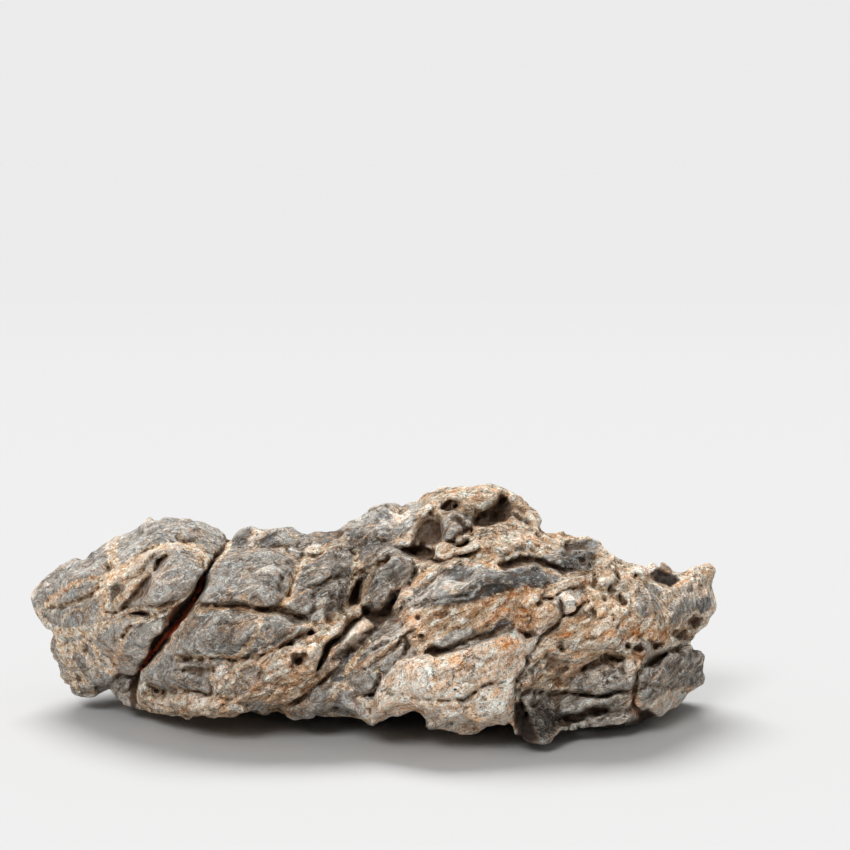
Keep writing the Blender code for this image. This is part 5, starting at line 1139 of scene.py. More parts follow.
class Chart:
    """Values on a fine square grid over the drawing, read back at any place by straight blending."""

    def __init__(self):
        counts = [int((high - low) / CHART_STEP) + 1 for low, high in zip(CHART_LOW, CHART_HIGH)]
        rights = CHART_LOW[0] + CHART_STEP * np.arange(counts[0])
        downs = CHART_LOW[1] + CHART_STEP * np.arange(counts[1])
        self.shape = tuple(counts)
        self.rights, self.downs = [g.ravel() for g in np.meshgrid(rights, downs, indexing="ij")]
        self.values = np.zeros(len(self.rights))

    def near(self, points, margin):
        """The grid places within margin of the box around some points: their indices, rights and downs."""
        low, high = np.min(points, axis=0) - margin, np.max(points, axis=0) + margin
        across = (self.rights > low[0]) & (self.rights < high[0])
        here = np.nonzero(across & (self.downs > low[1]) & (self.downs < high[1]))[0]
        return here, self.rights[here], self.downs[here]

    def lift(self, here, values):
        """Raises some grid places to the given values where they are lower."""
        self.values[here] = np.maximum(self.values[here], values)

    def at(self, right, down):
        """The values at any places on the drawing."""
        x = np.clip((right - CHART_LOW[0]) / CHART_STEP, 0, self.shape[0] - 1.001)
        y = np.clip((down - CHART_LOW[1]) / CHART_STEP, 0, self.shape[1] - 1.001)
        column, row = x.astype(np.int64), y.astype(np.int64)
        x, y = x - column, y - row
        first = column * self.shape[1] + row
        v = self.values
        near_side = v[first] * (1 - y) + v[first + 1] * y
        far_side = v[first + self.shape[1]] * (1 - y) + v[first + self.shape[1] + 1] * y
        return near_side * (1 - x) + far_side * x


def pit_reach(pit, right, down):
    """0 at a pit's centre, 1 at its rim, and more outside it."""
    turn = math.radians(pit.angle)
    dx, dy = right - pit.centre[0], down - pit.centre[1]
    along = (dx * math.cos(turn) + dy * math.sin(turn)) / pit.radii[0]
    across = (dy * math.cos(turn) - dx * math.sin(turn)) / pit.radii[1]
    return along**2 + across**2


def uneven(right, down, size, salt):
    """Noise over the drawing, about -1 to 1, with lumps of a size in drawing units."""
    return fractal(np.stack([right, down, 0.0 * right], axis=1), size, 2, salt)


def worn(right, down, size, salt, middle, spread, least, most):
    """How much of a thing is left at places on the drawing, by one of the rows for uneven wear."""
    return np.clip(middle + spread * uneven(right, down, size, salt), least, most)


def crack_cut(crack, right, down, salt):
    """1 in the middle of a crack and 0 outside it. Its width varies, and it narrows towards its ends."""
    across = line_distance(right, down, crack.points) / UNITS_PER_MM
    ends = [np.hypot(right - x, down - y) for x, y in (crack.points[0], crack.points[-1])]
    taper = END_WIDTH + (1.0 - END_WIDTH) * smoothstep(0.0, TAPER, np.minimum(*ends))
    width = crack.width * taper * (1.0 + RAGGEDNESS * uneven(right, down, RAGGEDNESS_SIZE, salt))
    return np.exp(-((across / np.maximum(width, THINNEST_CRACK)) ** 4))


def draw_plates(charts):
    """Sets the blocks' height and kind of rock, with a groove around each."""
    relief = charts["relief"]
    for plate in PLATES:
        here, right, down = relief.near(plate.outline, PLATE_MARGIN)
        within = depth_inside(right, down, plate.outline)
        share = smoothstep(-PLATE_EDGE, PLATE_EDGE, within)
        rounded = 1.0 - (1.0 - np.clip(within / PLATE_SWELL, 0.0, 1.0)) ** 2
        relief.values[here] += share * (plate.rise + plate.dome * rounded - relief.values[here])
        groove = plate.groove * worn(right, down, *GROOVE_WEAR)
        relief.values[here] -= groove * np.exp(-((within / PLATE_EDGE) ** 2))
        share = smoothstep(-KIND_EDGE, KIND_EDGE, within)
        for kind, chart in charts["kinds"].items():
            chart.values[here] += share * ((kind == plate.kind) - chart.values[here])


def draw_ridges(charts):
    """Raises the crests, which are pale."""
    relief = charts["relief"]
    for ridge in RIDGES:
        here, right, down = relief.near(ridge.points, RIDGE_MARGIN)
        across = line_distance(right, down, ridge.points) / UNITS_PER_MM
        fall = worn(right, down, *RIDGE_WEAR) * np.exp(-((across / ridge.width) ** 2))
        relief.values[here] += ridge.depth * fall
        charts["pale"].lift(here, fall)


def draw_veins(chart, veins):
    """Marks thin veins: 1 in the middle of each."""
    for vein in veins:
        here, right, down = chart.near(vein.points, VEIN_MARGIN)
        across = line_distance(right, down, vein.points) / UNITS_PER_MM
        chart.lift(here, np.exp(-((0.5 * across / vein.width) ** 2)))


def draw_cracks(charts):
    """Cuts the cracks, and marks where shade is painted in them and how deep the rock can be open there."""
    relief = charts["relief"]
    for number, crack in enumerate(CRACKS):
        here, right, down = relief.near(crack.points, CRACK_MARGIN)
        cut = crack_cut(crack, right, down, 311 + number)
        relief.values[here] -= crack.depth * cut
        charts["hollow"].lift(here, np.minimum(1.0, crack.depth / DARK_CRACK) * cut)
        reached = line_distance(right, down, crack.points) < 2.0 * crack.width * UNITS_PER_MM + 4.0
        charts["reach"].values[here] += crack.depth * reached


def draw_hollows(charts):
    """Cuts the hollows to their uneven floors, and marks the shade painted in them."""
    relief = charts["relief"]
    for hollow in HOLLOWS:
        here, right, down = relief.near(hollow.outline, HOLLOW_MARGIN)
        within = depth_inside(right, down, hollow.outline) + uneven(right, down, *HOLLOW_RIM)
        share = smoothstep(-HOLLOW_EDGE, 2.0 * HOLLOW_EDGE, within)
        floor = hollow.depth * (1.0 + HOLLOW_ROUGHNESS * uneven(right, down, *HOLLOW_FLOOR))
        relief.values[here] -= floor * share
        charts["hollow"].lift(here, hollow.darkness * share)
        charts["reach"].values[here] += hollow.depth


def draw_pits(charts):
    """Cuts the round pits, and marks the shade painted in them."""
    relief = charts["relief"]
    for pit in PITS:
        here, right, down = relief.near([pit.centre], PIT_SPAN * max(pit.radii) + PIT_MARGIN)
        cut = np.exp(-((pit_reach(pit, right, down) * worn(right, down, *PIT_WEAR)) ** 1.5))
        relief.values[here] -= pit.depth * cut
        charts["hollow"].lift(here, np.minimum(PIT_DARKNESS, pit.depth / DARK_PIT) * cut)
        charts["reach"].values[here] += pit.depth


def draw_patches(charts):
    """Marks the rusty places, and the places painted lighter or darker: partly bleached rock, partly painted
    light and painted shade. None has relief.
    """
    rust, bleach_light_shade = charts["rust"], charts["bleach_light_shade"]
    for stain in STAINS:
        here, right, down = rust.near([stain.centre], PATCH_SPAN * max(stain.radii))
        rust.lift(here, stain.strength * np.exp(-pit_reach(stain, right, down)))
    for patch in BLEACH_LIGHT_AND_SHADE:
        here, right, down = bleach_light_shade.near([patch.centre], PATCH_SPAN * max(patch.radii))
        bleach_light_shade.values[here] += patch.strength * np.exp(-(pit_reach(patch, right, down) ** 2))


def draw_charts():
    """Everything that the drawing says, as charts."""
    charts = {name: Chart() for name in CHART_NAMES}
    charts["kinds"] = {kind: Chart() for kind in (TAN, CREAM, SLATE, SHALE)}
    charts["kinds"][TAN].values += 1.0
    edge, relief = charts["edge"], charts["relief"]
    edge.values = depth_inside(edge.rights, edge.downs, OUTLINE)
    for name, places in (("front", FRONT_DEPTHS), ("back", BACK_DEPTHS)):
        charts[name].values = Spline(places).at(edge.rights, edge.downs)
    draw_plates(charts)
    draw_ridges(charts)
    charts["sheer"].values = relief.values.copy()
    draw_veins(charts["vein"], VEINS)
    draw_veins(charts["ember"], EMBERS)
    draw_cracks(charts)
    draw_hollows(charts)
    draw_pits(charts)
    draw_patches(charts)
    deepest = OUTLINE_CUT + CUT_SLOPE * np.maximum(edge.values, 0.0) / UNITS_PER_MM
    relief.values = np.maximum(relief.values, -deepest)
    return charts


def sole(points):
    """Height of the underside over the ground, in mm: none at the feet, and an uneven arch between them."""
    height = np.full(len(points), ARCH)
    for x, y, radius in FEET:
        away = np.hypot(points[:, 0] - x, points[:, 1] - y)
        height = np.minimum(height, ARCH * smoothstep(FOOT_EDGE[0] * radius, FOOT_EDGE[1] * radius, away))
    return height * (1.0 + ARCH_ROUGHNESS * noise(points * (1, 1, 0), *ARCH_LUMPS))


def wandered(points):
    """Where points are drawn, with the drawing's lines made to wander as they do in the rock."""
    right, down = drawn(points)
    right = right + WANDER * fractal(points, WANDER_SIZE, 3, 1) + JITTER * noise(points, JITTER_SIZE, 9)
    down = down + WANDER * fractal(points, WANDER_SIZE, 3, 5) + JITTER * noise(points, JITTER_SIZE, 10)
    return right, down


def behind(points, right, down, charts):
    """0 on the drawn front and 1 well behind it."""
    return smoothstep(*BEHIND, points[:, 1] - charts["front"].at(right, down))


def kind_shares(points, right, down, charts):
    """How much of each kind of rock is at points: what is drawn at the front, and beds of them behind."""
    hidden = behind(points, right, down, charts)
    patch = fractal(points @ BED_FRAME * BACK_STRETCH, *BACK_PATCHES)
    spots = fractal(points, *BACK_SPOTS)
    low = smoothstep(*BACK_SHALE, points[:, 2] + BACK_SHALE_SHIFT * spots)
    back = {
        TAN: smoothstep(*BACK_TAN, patch),
        CREAM: smoothstep(*BACK_CREAM, spots),
        SLATE: smoothstep(*BACK_SLATE, patch),
    }
    back[SHALE] = low * (1.0 - back[TAN])
    total = np.maximum(1.0, sum(back.values()))
    shares = {}
    for kind, chart in charts["kinds"].items():
        shares[kind] = chart.at(right, down) * (1.0 - hidden) + back[kind] / total * hidden
    return shares


def pocks(points, size, salt):
    """1 in the middle of small round holes scattered about size apart, falling to 0 at their rims."""
    scaled = points / size
    home = np.floor(scaled - 0.5).astype(np.int64)
    deepest = np.zeros(len(points))
    for step in np.ndindex(2, 2, 2):
        cell = home + step
        keys = cell_keys(cell)
        loose = np.stack([hashed(keys, salt + number) for number in range(4)], axis=1)
        gap = np.linalg.norm(scaled - cell - 0.25 - 0.5 * loose[:, :3], axis=1)
        deepest = np.maximum(deepest, 1.0 - gap / (0.12 + 0.32 * loose[:, 3] ** 2))
    return smoothstep(0.0, 0.7, deepest)


def broken(points, size, salt):
    """Flakes of one size broken from the rock, which leave flat scars between sharp edges, in mm."""
    return size * chips(points / size, 1.0, 0.3, 0.5, 0.45, salt)


def ledges(points, thickness, salt):
    """Worn-back layers: from 0 at the foot of each to 1 at its lip, in steps that come and go."""
    across = points @ BED_NORMAL / thickness
    across = across + 1.1 * noise(points, 5.0 * thickness, salt)
    across = across + 0.35 * noise(points, 1.4 * thickness, salt + 1)
    share = across - np.floor(across)
    return share * smoothstep(1.0, 0.86, share)


def fissures(points, size, salt):
    """1 along thin wandering cracks, which cross the rock in some places and not in others."""
    line = np.abs(fractal(points, size, 3, salt))
    return smoothstep(0.09, 0.0, line) * smoothstep(-0.1, 0.35, noise(points, 1.6 * size, salt + 3))


def fine_relief(points, shares):
    """The rock's own grain, in mm, by how much of each kind of rock there is."""
    bedded = points @ BED_FRAME * BED_STRETCH
    textures = {
        "roll": fractal(points, 7.0, 2, 101),
        "grain": fractal(points, 2.2, 2, 111),
        "crests": 0.4 - np.abs(fractal(bedded, 3.4, 3, 121)),
        "large": broken(bedded, 8.0, 131),
        "middle": broken(bedded, 4.0, 151),
        "small": broken(points, 2.0, 171),
        "steps": ledges(points, 3.4, 181),
        "split": fissures(bedded, 9.0, 191),
        "holes": pocks(points, 3.8, 141),
    }
    relief = np.zeros(len(points))
    grey = np.clip(1.0 - sum(shares.values()), 0.0, 1.0)
    for kind, share in {GREY: grey, **shares}.items():
        relief += share * sum(height * textures[name] for name, height in GRAIN[kind].items())
    return relief


def stone_field(points, charts, fine):
    """Below zero inside the stone. Near its surface the value is close to the distance from it, in mm."""
    right, down = wandered(points)
    outer = -charts["edge"].at(right, down) / UNITS_PER_MM
    depth = charts["front"].at(right, down)
    front = depth - charts["relief"].at(right, down) - points[:, 1]
    back = points[:, 1] - charts["back"].at(right, down)
    field = smooth_max(front, outer, SILHOUETTE_ROUNDING)
    back -= chips(points, *BACK_CHIPS) + beds(points, *BACK_BEDS)
    back += UNDERCUT * smoothstep(UNDERCUT_HEIGHT, 0.0, points[:, 2])
    field = smooth_max(field, back, BACK_ROUNDING)
    large, small = chips(points, *LARGE_CHIPS), chips(points, *SMALL_CHIPS)
    field -= LARGE_CHIPS_SHARE * large + SMALL_CHIPS_SHARE * small
    if fine:
        calm = smoothstep(0.0, CALM_EDGE, -outer)
        shares = kind_shares(points, right, down, charts)
        field -= (CALM + (1.0 - CALM) * calm) * fine_relief(points, shares)
    return smooth_max(field, sole(points) - points[:, 2], GROUND_ROUNDING)


def in_parts(function, points):
    """A function of points worked out part by part on every processor."""
    parts = np.array_split(points, max(1, len(points) // PART_SIZE))
    with ThreadPoolExecutor() as pool:
        return np.concatenate(list(pool.map(function, parts)))


def axes_of(voxel):
    """The places of the block's grid points along each axis, for a spacing in mm."""
    return [np.arange(low, high + voxel, voxel) for low, high in zip(LOW_CORNER, HIGH_CORNER)]


def sampled_field(charts):
    """The field on the fine grid, worked out only near the surface and inside deep cracks."""
    coarse_axes = axes_of(VOXEL * COARSENING)
    coarse = np.stack(np.meshgrid(*coarse_axes, indexing="ij"), axis=-1).reshape(-1, 3)
    plain = {**charts, "relief": charts["sheer"]}
    rough = in_parts(lambda p: stone_field(p, plain, False), coarse)
    right, down = drawn(coarse)
    reach = BAND + VOXEL + charts["reach"].at(right, down)
    shape = tuple(len(axis) for axis in coarse_axes)
    wanted = ((rough > -reach) & (rough < BAND + VOXEL)).reshape(shape)
    rough = rough.reshape(shape)
    for axis in range(3):
        wanted = np.repeat(wanted, COARSENING, axis=axis)
        rough = np.repeat(rough, COARSENING, axis=axis)
    values = np.where(rough < 0, -BAND, BAND)
    places = np.argwhere(wanted)
    points = np.array(LOW_CORNER) + VOXEL * places
    values[tuple(places.T)] = in_parts(lambda p: stone_field(p, charts, True), points)
    return values


def levelled(values, voxel):
    """The field eased to the slope of a distance where it is steep, and its one-cell specks smoothed."""
    slope = np.sqrt(sum(part**2 for part in np.gradient(values, voxel)))
    values = np.clip(values / np.maximum(slope, 1.0), -2.0 * voxel, 2.0 * voxel)
    for axis in range(3):
        padded = np.pad(values, [(1, 1) if i == axis else (0, 0) for i in range(3)], mode="edge")
        before, after = [slice(None)] * 3, [slice(None)] * 3
        before[axis], after[axis] = slice(0, -2), slice(2, None)
        values = KEPT * values + TAKEN * (padded[tuple(before)] + padded[tuple(after)])
    return values


def corner_views(values):
    """The eight corners of every grid cube, as views that can be written to."""
    n = [length - 1 for length in values.shape]
    return {c: values[tuple(slice(at, at + size) for at, size in zip(c, n))] for c in np.ndindex(2, 2, 2)}


def untangle(values):
    """Fills grid points until no cube is inside only at opposite corners of itself or of one of its sides."""
    solid = values < 0
    corners = corner_views(solid)
    pairs = []
    for a, b in combinations(corners, 2):
        far = [axis for axis in range(3) if a[axis] != b[axis]]
        if len(far) > 1:
            between = [c for c in corners if c not in (a, b)
                       and all(c[axis] == a[axis] for axis in range(3) if axis not in far)]
            pairs.append((a, b, between))
    changed = True
    while changed:
        changed = False
        for a, b, between in pairs:
            bridged = np.logical_or.reduce([corners[c] for c in between])
            tangled = corners[a] & corners[b] & ~bridged
            if tangled.any():
                corners[between[0]][tangled] = True
                changed = True
            walled = np.logical_and.reduce([corners[c] for c in between])
            tangled = walled & ~corners[a] & ~corners[b]
            if tangled.any():
                corners[a][tangled] = True
                changed = True
    values[solid & (values >= 0)] = FILLED


def net_points(values, solid):
    """Which grid cubes the surface crosses, and where in each, on average, it crosses the cube's edges."""
    shape = np.array(values.shape) - 1
    total = np.zeros((*shape, 3))
    count = np.zeros(shape)
    for axis in range(3):
        for step in np.ndindex(2, 2):
            start = list(step)
            start.insert(axis, 0)
            end = [at + (i == axis) for i, at in enumerate(start)]
            begin = tuple(slice(at, at + n) for at, n in zip(start, shape))
            stop = tuple(slice(at, at + n) for at, n in zip(end, shape))
            a, b = values[begin], values[stop]
            crossing = solid[begin] != solid[stop]
            share = np.where(crossing, a / np.where(crossing, a - b, 1.0), 0.0)
            place = np.array(start, float) + np.eye(3)[axis] * share[..., None]
            total += np.where(crossing[..., None], place, 0.0)
            count += crossing
    used = count > 0
    return used, total[used] / count[used][:, None]


def net_faces(solid, index):
    """The four-sided faces, each around a grid edge that the surface crosses, by the cubes' indices."""
    shape = index.shape
    faces = []
    for axis in range(3):
        a, b = [(axis + 1) % 3, (axis + 2) % 3]
        inner = [slice(1, n) for n in shape]
        inner[axis] = slice(0, shape[axis])
        beyond = list(inner)
        beyond[axis] = slice(1, shape[axis] + 1)
        leaving = solid[tuple(inner)] & ~solid[tuple(beyond)]
        entering = ~solid[tuple(inner)] & solid[tuple(beyond)]
        for found, order in ((leaving, (0, 1, 2, 3)), (entering, (3, 2, 1, 0))):
            at = np.argwhere(found) + [0 if i == axis else 1 for i in range(3)]
            ring = []
            for da, db in ((0, 0), (-1, 0), (-1, -1), (0, -1)):
                cell = at.copy()
                cell[:, a] += da
                cell[:, b] += db
                ring.append(index[tuple(cell.T)])
            faces.append(np.stack([ring[i] for i in order], axis=1))
    return np.concatenate(faces)


def surface_net(values, low, voxel):
    """The points and four-sided faces of the surface where values cross zero."""
    solid = values < 0
    used, places = net_points(values, solid)
    index = np.full(used.shape, -1)
    index[used] = np.arange(used.sum())
    return np.array(low) + voxel * (np.argwhere(used) + places), net_faces(solid, index)


def largest_piece(vertices, faces):
    """Drops crumbs that are not joined to the stone."""
    label = np.arange(len(vertices))
    while True:
        lowest = label[faces].min(axis=1)
        merged = label.copy()
        np.minimum.at(merged, faces.ravel(), np.repeat(lowest, 4))
        merged = merged[merged]
        if np.array_equal(merged, label):
            break
        label = merged
    main = label == np.bincount(label).argmax()
    renumber = np.cumsum(main) - 1
    return vertices[main], renumber[faces[main[faces].all(axis=1)]]


def stone_mesh(charts):
    """The stone's surface as a mesh, in the frame's metres."""
    values = levelled(sampled_field(charts), VOXEL)
    untangle(values)
    vertices, faces = largest_piece(*surface_net(values, LOW_CORNER, VOXEL))
    vertices[:, 2] = np.where(vertices[:, 2] < SOLE_SNAP, 0.0, vertices[:, 2])
    mesh = bpy.data.meshes.new("stone_surface")
    mesh.from_pydata(((vertices - MIDDLE) * METRES_PER_MM).tolist(), [], faces.tolist())
    mesh.validate()
    return mesh


def thin(surface):
    """Thins the surface's triangles out, so that they are spent where its relief is."""
    modifier = surface.modifiers.new("fewer_faces", "DECIMATE")
    modifier.ratio = min(1.0, TRIANGLES / (2 * len(surface.data.polygons)))
    modifier.use_collapse_triangulate = True
    graph = bpy.context.evaluated_depsgraph_get()
    mesh = bpy.data.meshes.new_from_object(surface.evaluated_get(graph))
    surface.modifiers.clear()
    surface.data = mesh
    mesh.name = "stone_surface"


def coordinates(mesh):
    """A mesh's points in the drawing's millimetres."""
    flat = np.empty(3 * len(mesh.vertices))
    mesh.vertices.foreach_get("co", flat)
    return flat.reshape(-1, 3) / METRES_PER_MM + MIDDLE


def hollowness(mesh, points, rounds):
    """How far, in mm, the surface lies below its own smoothed shape: above zero in dips, below on crests."""
    edges = np.empty(2 * len(mesh.edges), np.int64)
    mesh.edges.foreach_get("vertices", edges)
    a, b = edges.reshape(-1, 2).T
    degree = np.bincount(a, minlength=len(points)) + np.bincount(b, minlength=len(points))
    smooth = points.copy()
    for _ in range(rounds):
        total = np.empty_like(points)
        for axis in range(3):
            total[:, axis] = np.bincount(a, smooth[b, axis], len(points))
            total[:, axis] += np.bincount(b, smooth[a, axis], len(points))
        smooth = 0.5 * smooth + 0.5 * total / degree[:, None]
    normals = np.empty(3 * len(points), np.float32)
    mesh.vertices.foreach_get("normal", normals)
    return np.sum((smooth - points) * normals.reshape(-1, 3), axis=1)


def paint(mesh, charts):
    """Writes what the rock is at each point of the mesh, and where shade and light are painted on it, for its
    material to read.
    """
    points = coordinates(mesh)
    right, down = wandered(points)
    shares = kind_shares(points, right, down, charts)
    front = 1.0 - behind(points, right, down, charts)
    layers = {"tan": shares[TAN], "cream": shares[CREAM], "slate": shares[SLATE], "shale": shares[SHALE]}
    for name in ("hollow", "pale", "vein", "ember", "rust", "bleach_light_shade"):
        layers[name] = charts[name].at(right, down) * front
    for name, rounds in HOLLOWNESS:
        depth = hollowness(mesh, points, rounds)
        layers[name] = np.clip(0.5 + HOLLOWNESS_SHARE * depth / depth.std(), 0.0, 1.0)
    for name, values in layers.items():
        layer = mesh.attributes.new(name, "FLOAT", "POINT")
        layer.data.foreach_set("value", values.astype(np.float32))


class Nodes:
    """A short hand for wiring a material. Its places are in mm."""

    def __init__(self, material):
        material.use_nodes = True
        self.tree = material.node_tree
        self.shader = self.tree.nodes["Principled BSDF"]
        place = self.tree.nodes.new("ShaderNodeTexCoord").outputs["Object"]
        self.place = self.stretched(place, (1000.0, 1000.0, 1000.0))
        self.bedded = self.along(33.0, (0.4, 0.8, 1.0))
        self.scratched = self.along(42.0, (0.16, 0.6, 1.0))
        self.crossed = self.along(-48.0, (0.2, 0.6, 1.0))

    def new(self, kind, settings, inputs):
        node = self.tree.nodes.new(kind)
        for name, value in settings.items():
            setattr(node, name, value)
        for name, value in inputs.items():
            if isinstance(value, bpy.types.NodeSocket):
                self.tree.links.new(value, node.inputs[name])
            else:
                node.inputs[name].default_value = value
        return node

    def stretched(self, vector, scale, turn=(0.0, 0.0, 0.0)):
        inputs = {"Vector": vector, "Scale": scale, "Rotation": turn}
        return self.new("ShaderNodeMapping", {}, inputs).outputs[0]

    def along(self, slope, scale):
        """The place with its first axis turned to rise to the right by some degrees, and then stretched."""
        turned = self.stretched(self.place, (1.0, 1.0, 1.0), (0.0, math.radians(slope), 0.0))
        return self.stretched(turned, scale)

    def noise(self, size, detail=4.0, rough=0.6, vector=None):
        inputs = {"Vector": vector or self.place, "Scale": 1.0 / size, "Detail": detail, "Roughness": rough}
        return self.new("ShaderNodeTexNoise", {}, inputs).outputs[0]

    def cells(self, size, feature="F1", vector=None):
        inputs = {"Vector": vector or self.place, "Scale": 1.0 / size}
        return self.new("ShaderNodeTexVoronoi", {"feature": feature}, inputs).outputs["Distance"]

    def facets(self, size, vector):
        """The height in mm of flat broken faces about size across, each tilted its own way."""
        cells = self.new("ShaderNodeTexVoronoi", {}, {"Vector": vector, "Scale": 1.0 / size}).outputs
        tilt = self.pair("SUBTRACT", cells["Color"], (0.5, 0.5, 0.5)).outputs["Vector"]
        within = self.pair("SUBTRACT", vector, cells["Position"]).outputs["Vector"]
        return self.pair("DOT_PRODUCT", tilt, within).outputs["Value"]

    def stirred(self, amount, size, vector):
        """A place pushed about by noise, so that what is drawn from it wavers."""
        inputs = {"Vector": vector, "Scale": 1.0 / size, "Detail": 3.0}
        push = self.new("ShaderNodeTexNoise", {}, inputs).outputs["Color"]
        push = self.pair("SUBTRACT", push, (0.5, 0.5, 0.5)).outputs["Vector"]
        inputs = {0: push, 1: (2.0 * amount,) * 3, 2: vector}
        return self.new("ShaderNodeVectorMath", {"operation": "MULTIPLY_ADD"}, inputs).outputs[0]

    def pair(self, operation, a, b):
        return self.new("ShaderNodeVectorMath", {"operation": operation}, {0: a, 1: b})

    def layer(self, name):
        return self.new("ShaderNodeAttribute", {"attribute_name": name}, {}).outputs["Fac"]

    def sum(self, operation, a, b=0.0, c=0.0):
        return self.new("ShaderNodeMath", {"operation": operation}, {0: a, 1: b, 2: c}).outputs[0]

    def step(self, value, low, high, to_low=0.0, to_high=1.0):
        inputs = {"Value": value, "From Min": low, "From Max": high, "To Min": to_low, "To Max": to_high}
        return self.new("ShaderNodeMapRange", {"interpolation_type": "SMOOTHSTEP"}, inputs).outputs[0]

    def ragged(self, name, noise, low, high, raggedness):
        """A painted layer with its soft border broken up by noise."""
        moved = self.sum("MULTIPLY_ADD", self.sum("SUBTRACT", noise, 0.5), raggedness, self.layer(name))
        return self.step(moved, low, high)

    def blend(self, share, a, b, how="MIX"):
        settings = {"data_type": "RGBA", "blend_type": how}
        node = self.new("ShaderNodeMix", settings, {})
        for socket, value in ((node.inputs[0], share), (node.inputs[6], a), (node.inputs[7], b)):
            if isinstance(value, bpy.types.NodeSocket):
                self.tree.links.new(value, socket)
            else:
                socket.default_value = value if isinstance(value, float) else (*value, 1.0)
        return node.outputs[2]


def mottled(n, low, high, size, vector=None):
    """Two colours in ragged patches of a size."""
    return n.blend(n.step(n.noise(size, 7.0, 0.68, vector), 0.42, 0.58), low, high)


def rock_kind(n, rock):
    """The colour of one kind of rock before weathering."""
    colour = mottled(n, rock.dark, rock.light, rock.size, n.bedded if rock.bedded else None)
    for veil in rock.veils:
        share = n.step(n.noise(veil.size, veil.detail, veil.rough), veil.start, veil.whole, 0.0, veil.share)
        colour = n.blend(share, colour, veil.colour)
    return colour


def bare_rock(n):
    """The kinds of rock where they lie, each with a ragged border."""
    border = n.noise(6.0, 8.0, 0.72, n.bedded)
    colour = rock_kind(n, ROCKS[GREY])
    for name, kind in (("tan", TAN), ("cream", CREAM), ("shale", SHALE)):
        colour = n.blend(n.ragged(name, border, 0.38, 0.66, 1.6), colour, rock_kind(n, ROCKS[kind]))
    return n.blend(n.ragged("slate", border, 0.4, 0.6, 1.2), colour, rock_kind(n, ROCKS[SLATE]))


def crossing(n, thread):
    """1 on thin wavering lines that cross the rock in some places and not in others."""
    wavering = n.stirred(0.3 * thread.size, 0.6 * thread.size, n.bedded)
    lines = n.cells(thread.size, "DISTANCE_TO_EDGE", wavering)
    places = n.step(n.noise(thread.spread, 3.0), thread.start, thread.whole)
    return n.sum("MULTIPLY", n.step(lines, thread.width, 0.3 * thread.width), places)


def veined(n, colour, fine):
    """The rock with its fine nets of lime, which the slate is free of, its hair cracks and drawn veins."""
    plain = n.sum("SUBTRACT", 1.0, n.layer("slate"))
    for thread in THREADS:
        lines = n.sum("MULTIPLY", crossing(n, thread), plain)
        colour = n.blend(n.sum("MULTIPLY", lines, thread.share), colour, thread.colour)
    cracks = n.sum("MULTIPLY", crossing(n, HAIR_CRACKS), HAIR_CRACKS.share)
    colour = n.blend(cracks, colour, HAIR_CRACKS.colour)
    lime = mottled(n, LIME_DARK, LIME_LIGHT, 1.6)
    colour = n.blend(n.sum("MULTIPLY", n.ragged("vein", fine, 0.66, 0.78, 0.9), 0.95), colour, lime)
    return n.blend(n.sum("MULTIPLY", n.ragged("pale", fine, 0.5, 0.95, 1.5), 0.65), colour, RIDGE_LIME)


def weathered(n, colour, crust, fine):
    """The rock scratched, creased, rusty and bleached in places, with painted light on its upward faces and
    crests, wear on its crests and painted shade in its dips.
    """
    worn_and_lit_colour = n.blend(crust, *WORN_AND_LIT)
    normal = n.new("ShaderNodeNewGeometry", {}, {}).outputs["Normal"]
    upward = n.new("ShaderNodeSeparateXYZ", {}, {0: normal}).outputs["Z"]
    # Painted light on upward faces, with the bleached and painted-light patches.
    bleach_and_top_light = n.sum("MULTIPLY_ADD", n.step(upward, 0.25, 0.9), 0.3, n.layer("bleach_light_shade"))
    bleach_and_top_light = n.sum("MULTIPLY", bleach_and_top_light, n.step(n.noise(3.0, 8.0, 0.75, n.bedded), 0.45, 0.6, 0.2, 1.2))
    scratches = n.step(n.noise(0.9, 3.0, 0.7, n.bedded), 0.57, 0.65, 0.0, 0.6)
    creases = n.step(n.noise(1.1, 3.0, 0.7, n.crossed), 0.41, 0.34, 0.0, 0.65)
    # Crests worn paler and painted with light, on the rises of the finest bump.
    crest = n.sum("MULTIPLY", n.step(n.layer("dip"), 0.44, 0.12), n.step(fine, 0.35, 0.55, 0.4, 0.95))
    crest = n.sum("MULTIPLY", crest, n.step(crust, 0.0, 1.0, 0.6, 1.0))
    # Painted shade in the dips and dells.
    dip = n.sum("MULTIPLY", n.step(n.layer("dip"), 0.58, 0.92), 0.85)
    dell = n.sum("MULTIPLY", n.step(n.layer("dell"), 0.6, 0.95), 0.6)
    # Rises between the dells worn paler and painted with light.
    rise = n.sum("MULTIPLY", n.step(n.layer("dell"), 0.45, 0.12), n.step(crust, 0.0, 1.0, 0.15, 0.35))
    flecks = n.step(n.noise(1.2, 4.0, 0.75, n.bedded), 0.5, 0.58, 0.0, 0.8)
    rust = n.sum("MULTIPLY", n.step(n.layer("rust"), 0.15, 0.75), flecks)
    for share, other in (
        (bleach_and_top_light, worn_and_lit_colour),
        (scratches, worn_and_lit_colour),
        (creases, n.blend(crust, *CREASED)),
        (crest, worn_and_lit_colour),
        (dip, DIP_SHADE),
        (dell, DELL_SHADE),
        (rise, worn_and_lit_colour),
        (rust, RUST),
    ):
        colour = n.blend(share, colour, other)
    return colour


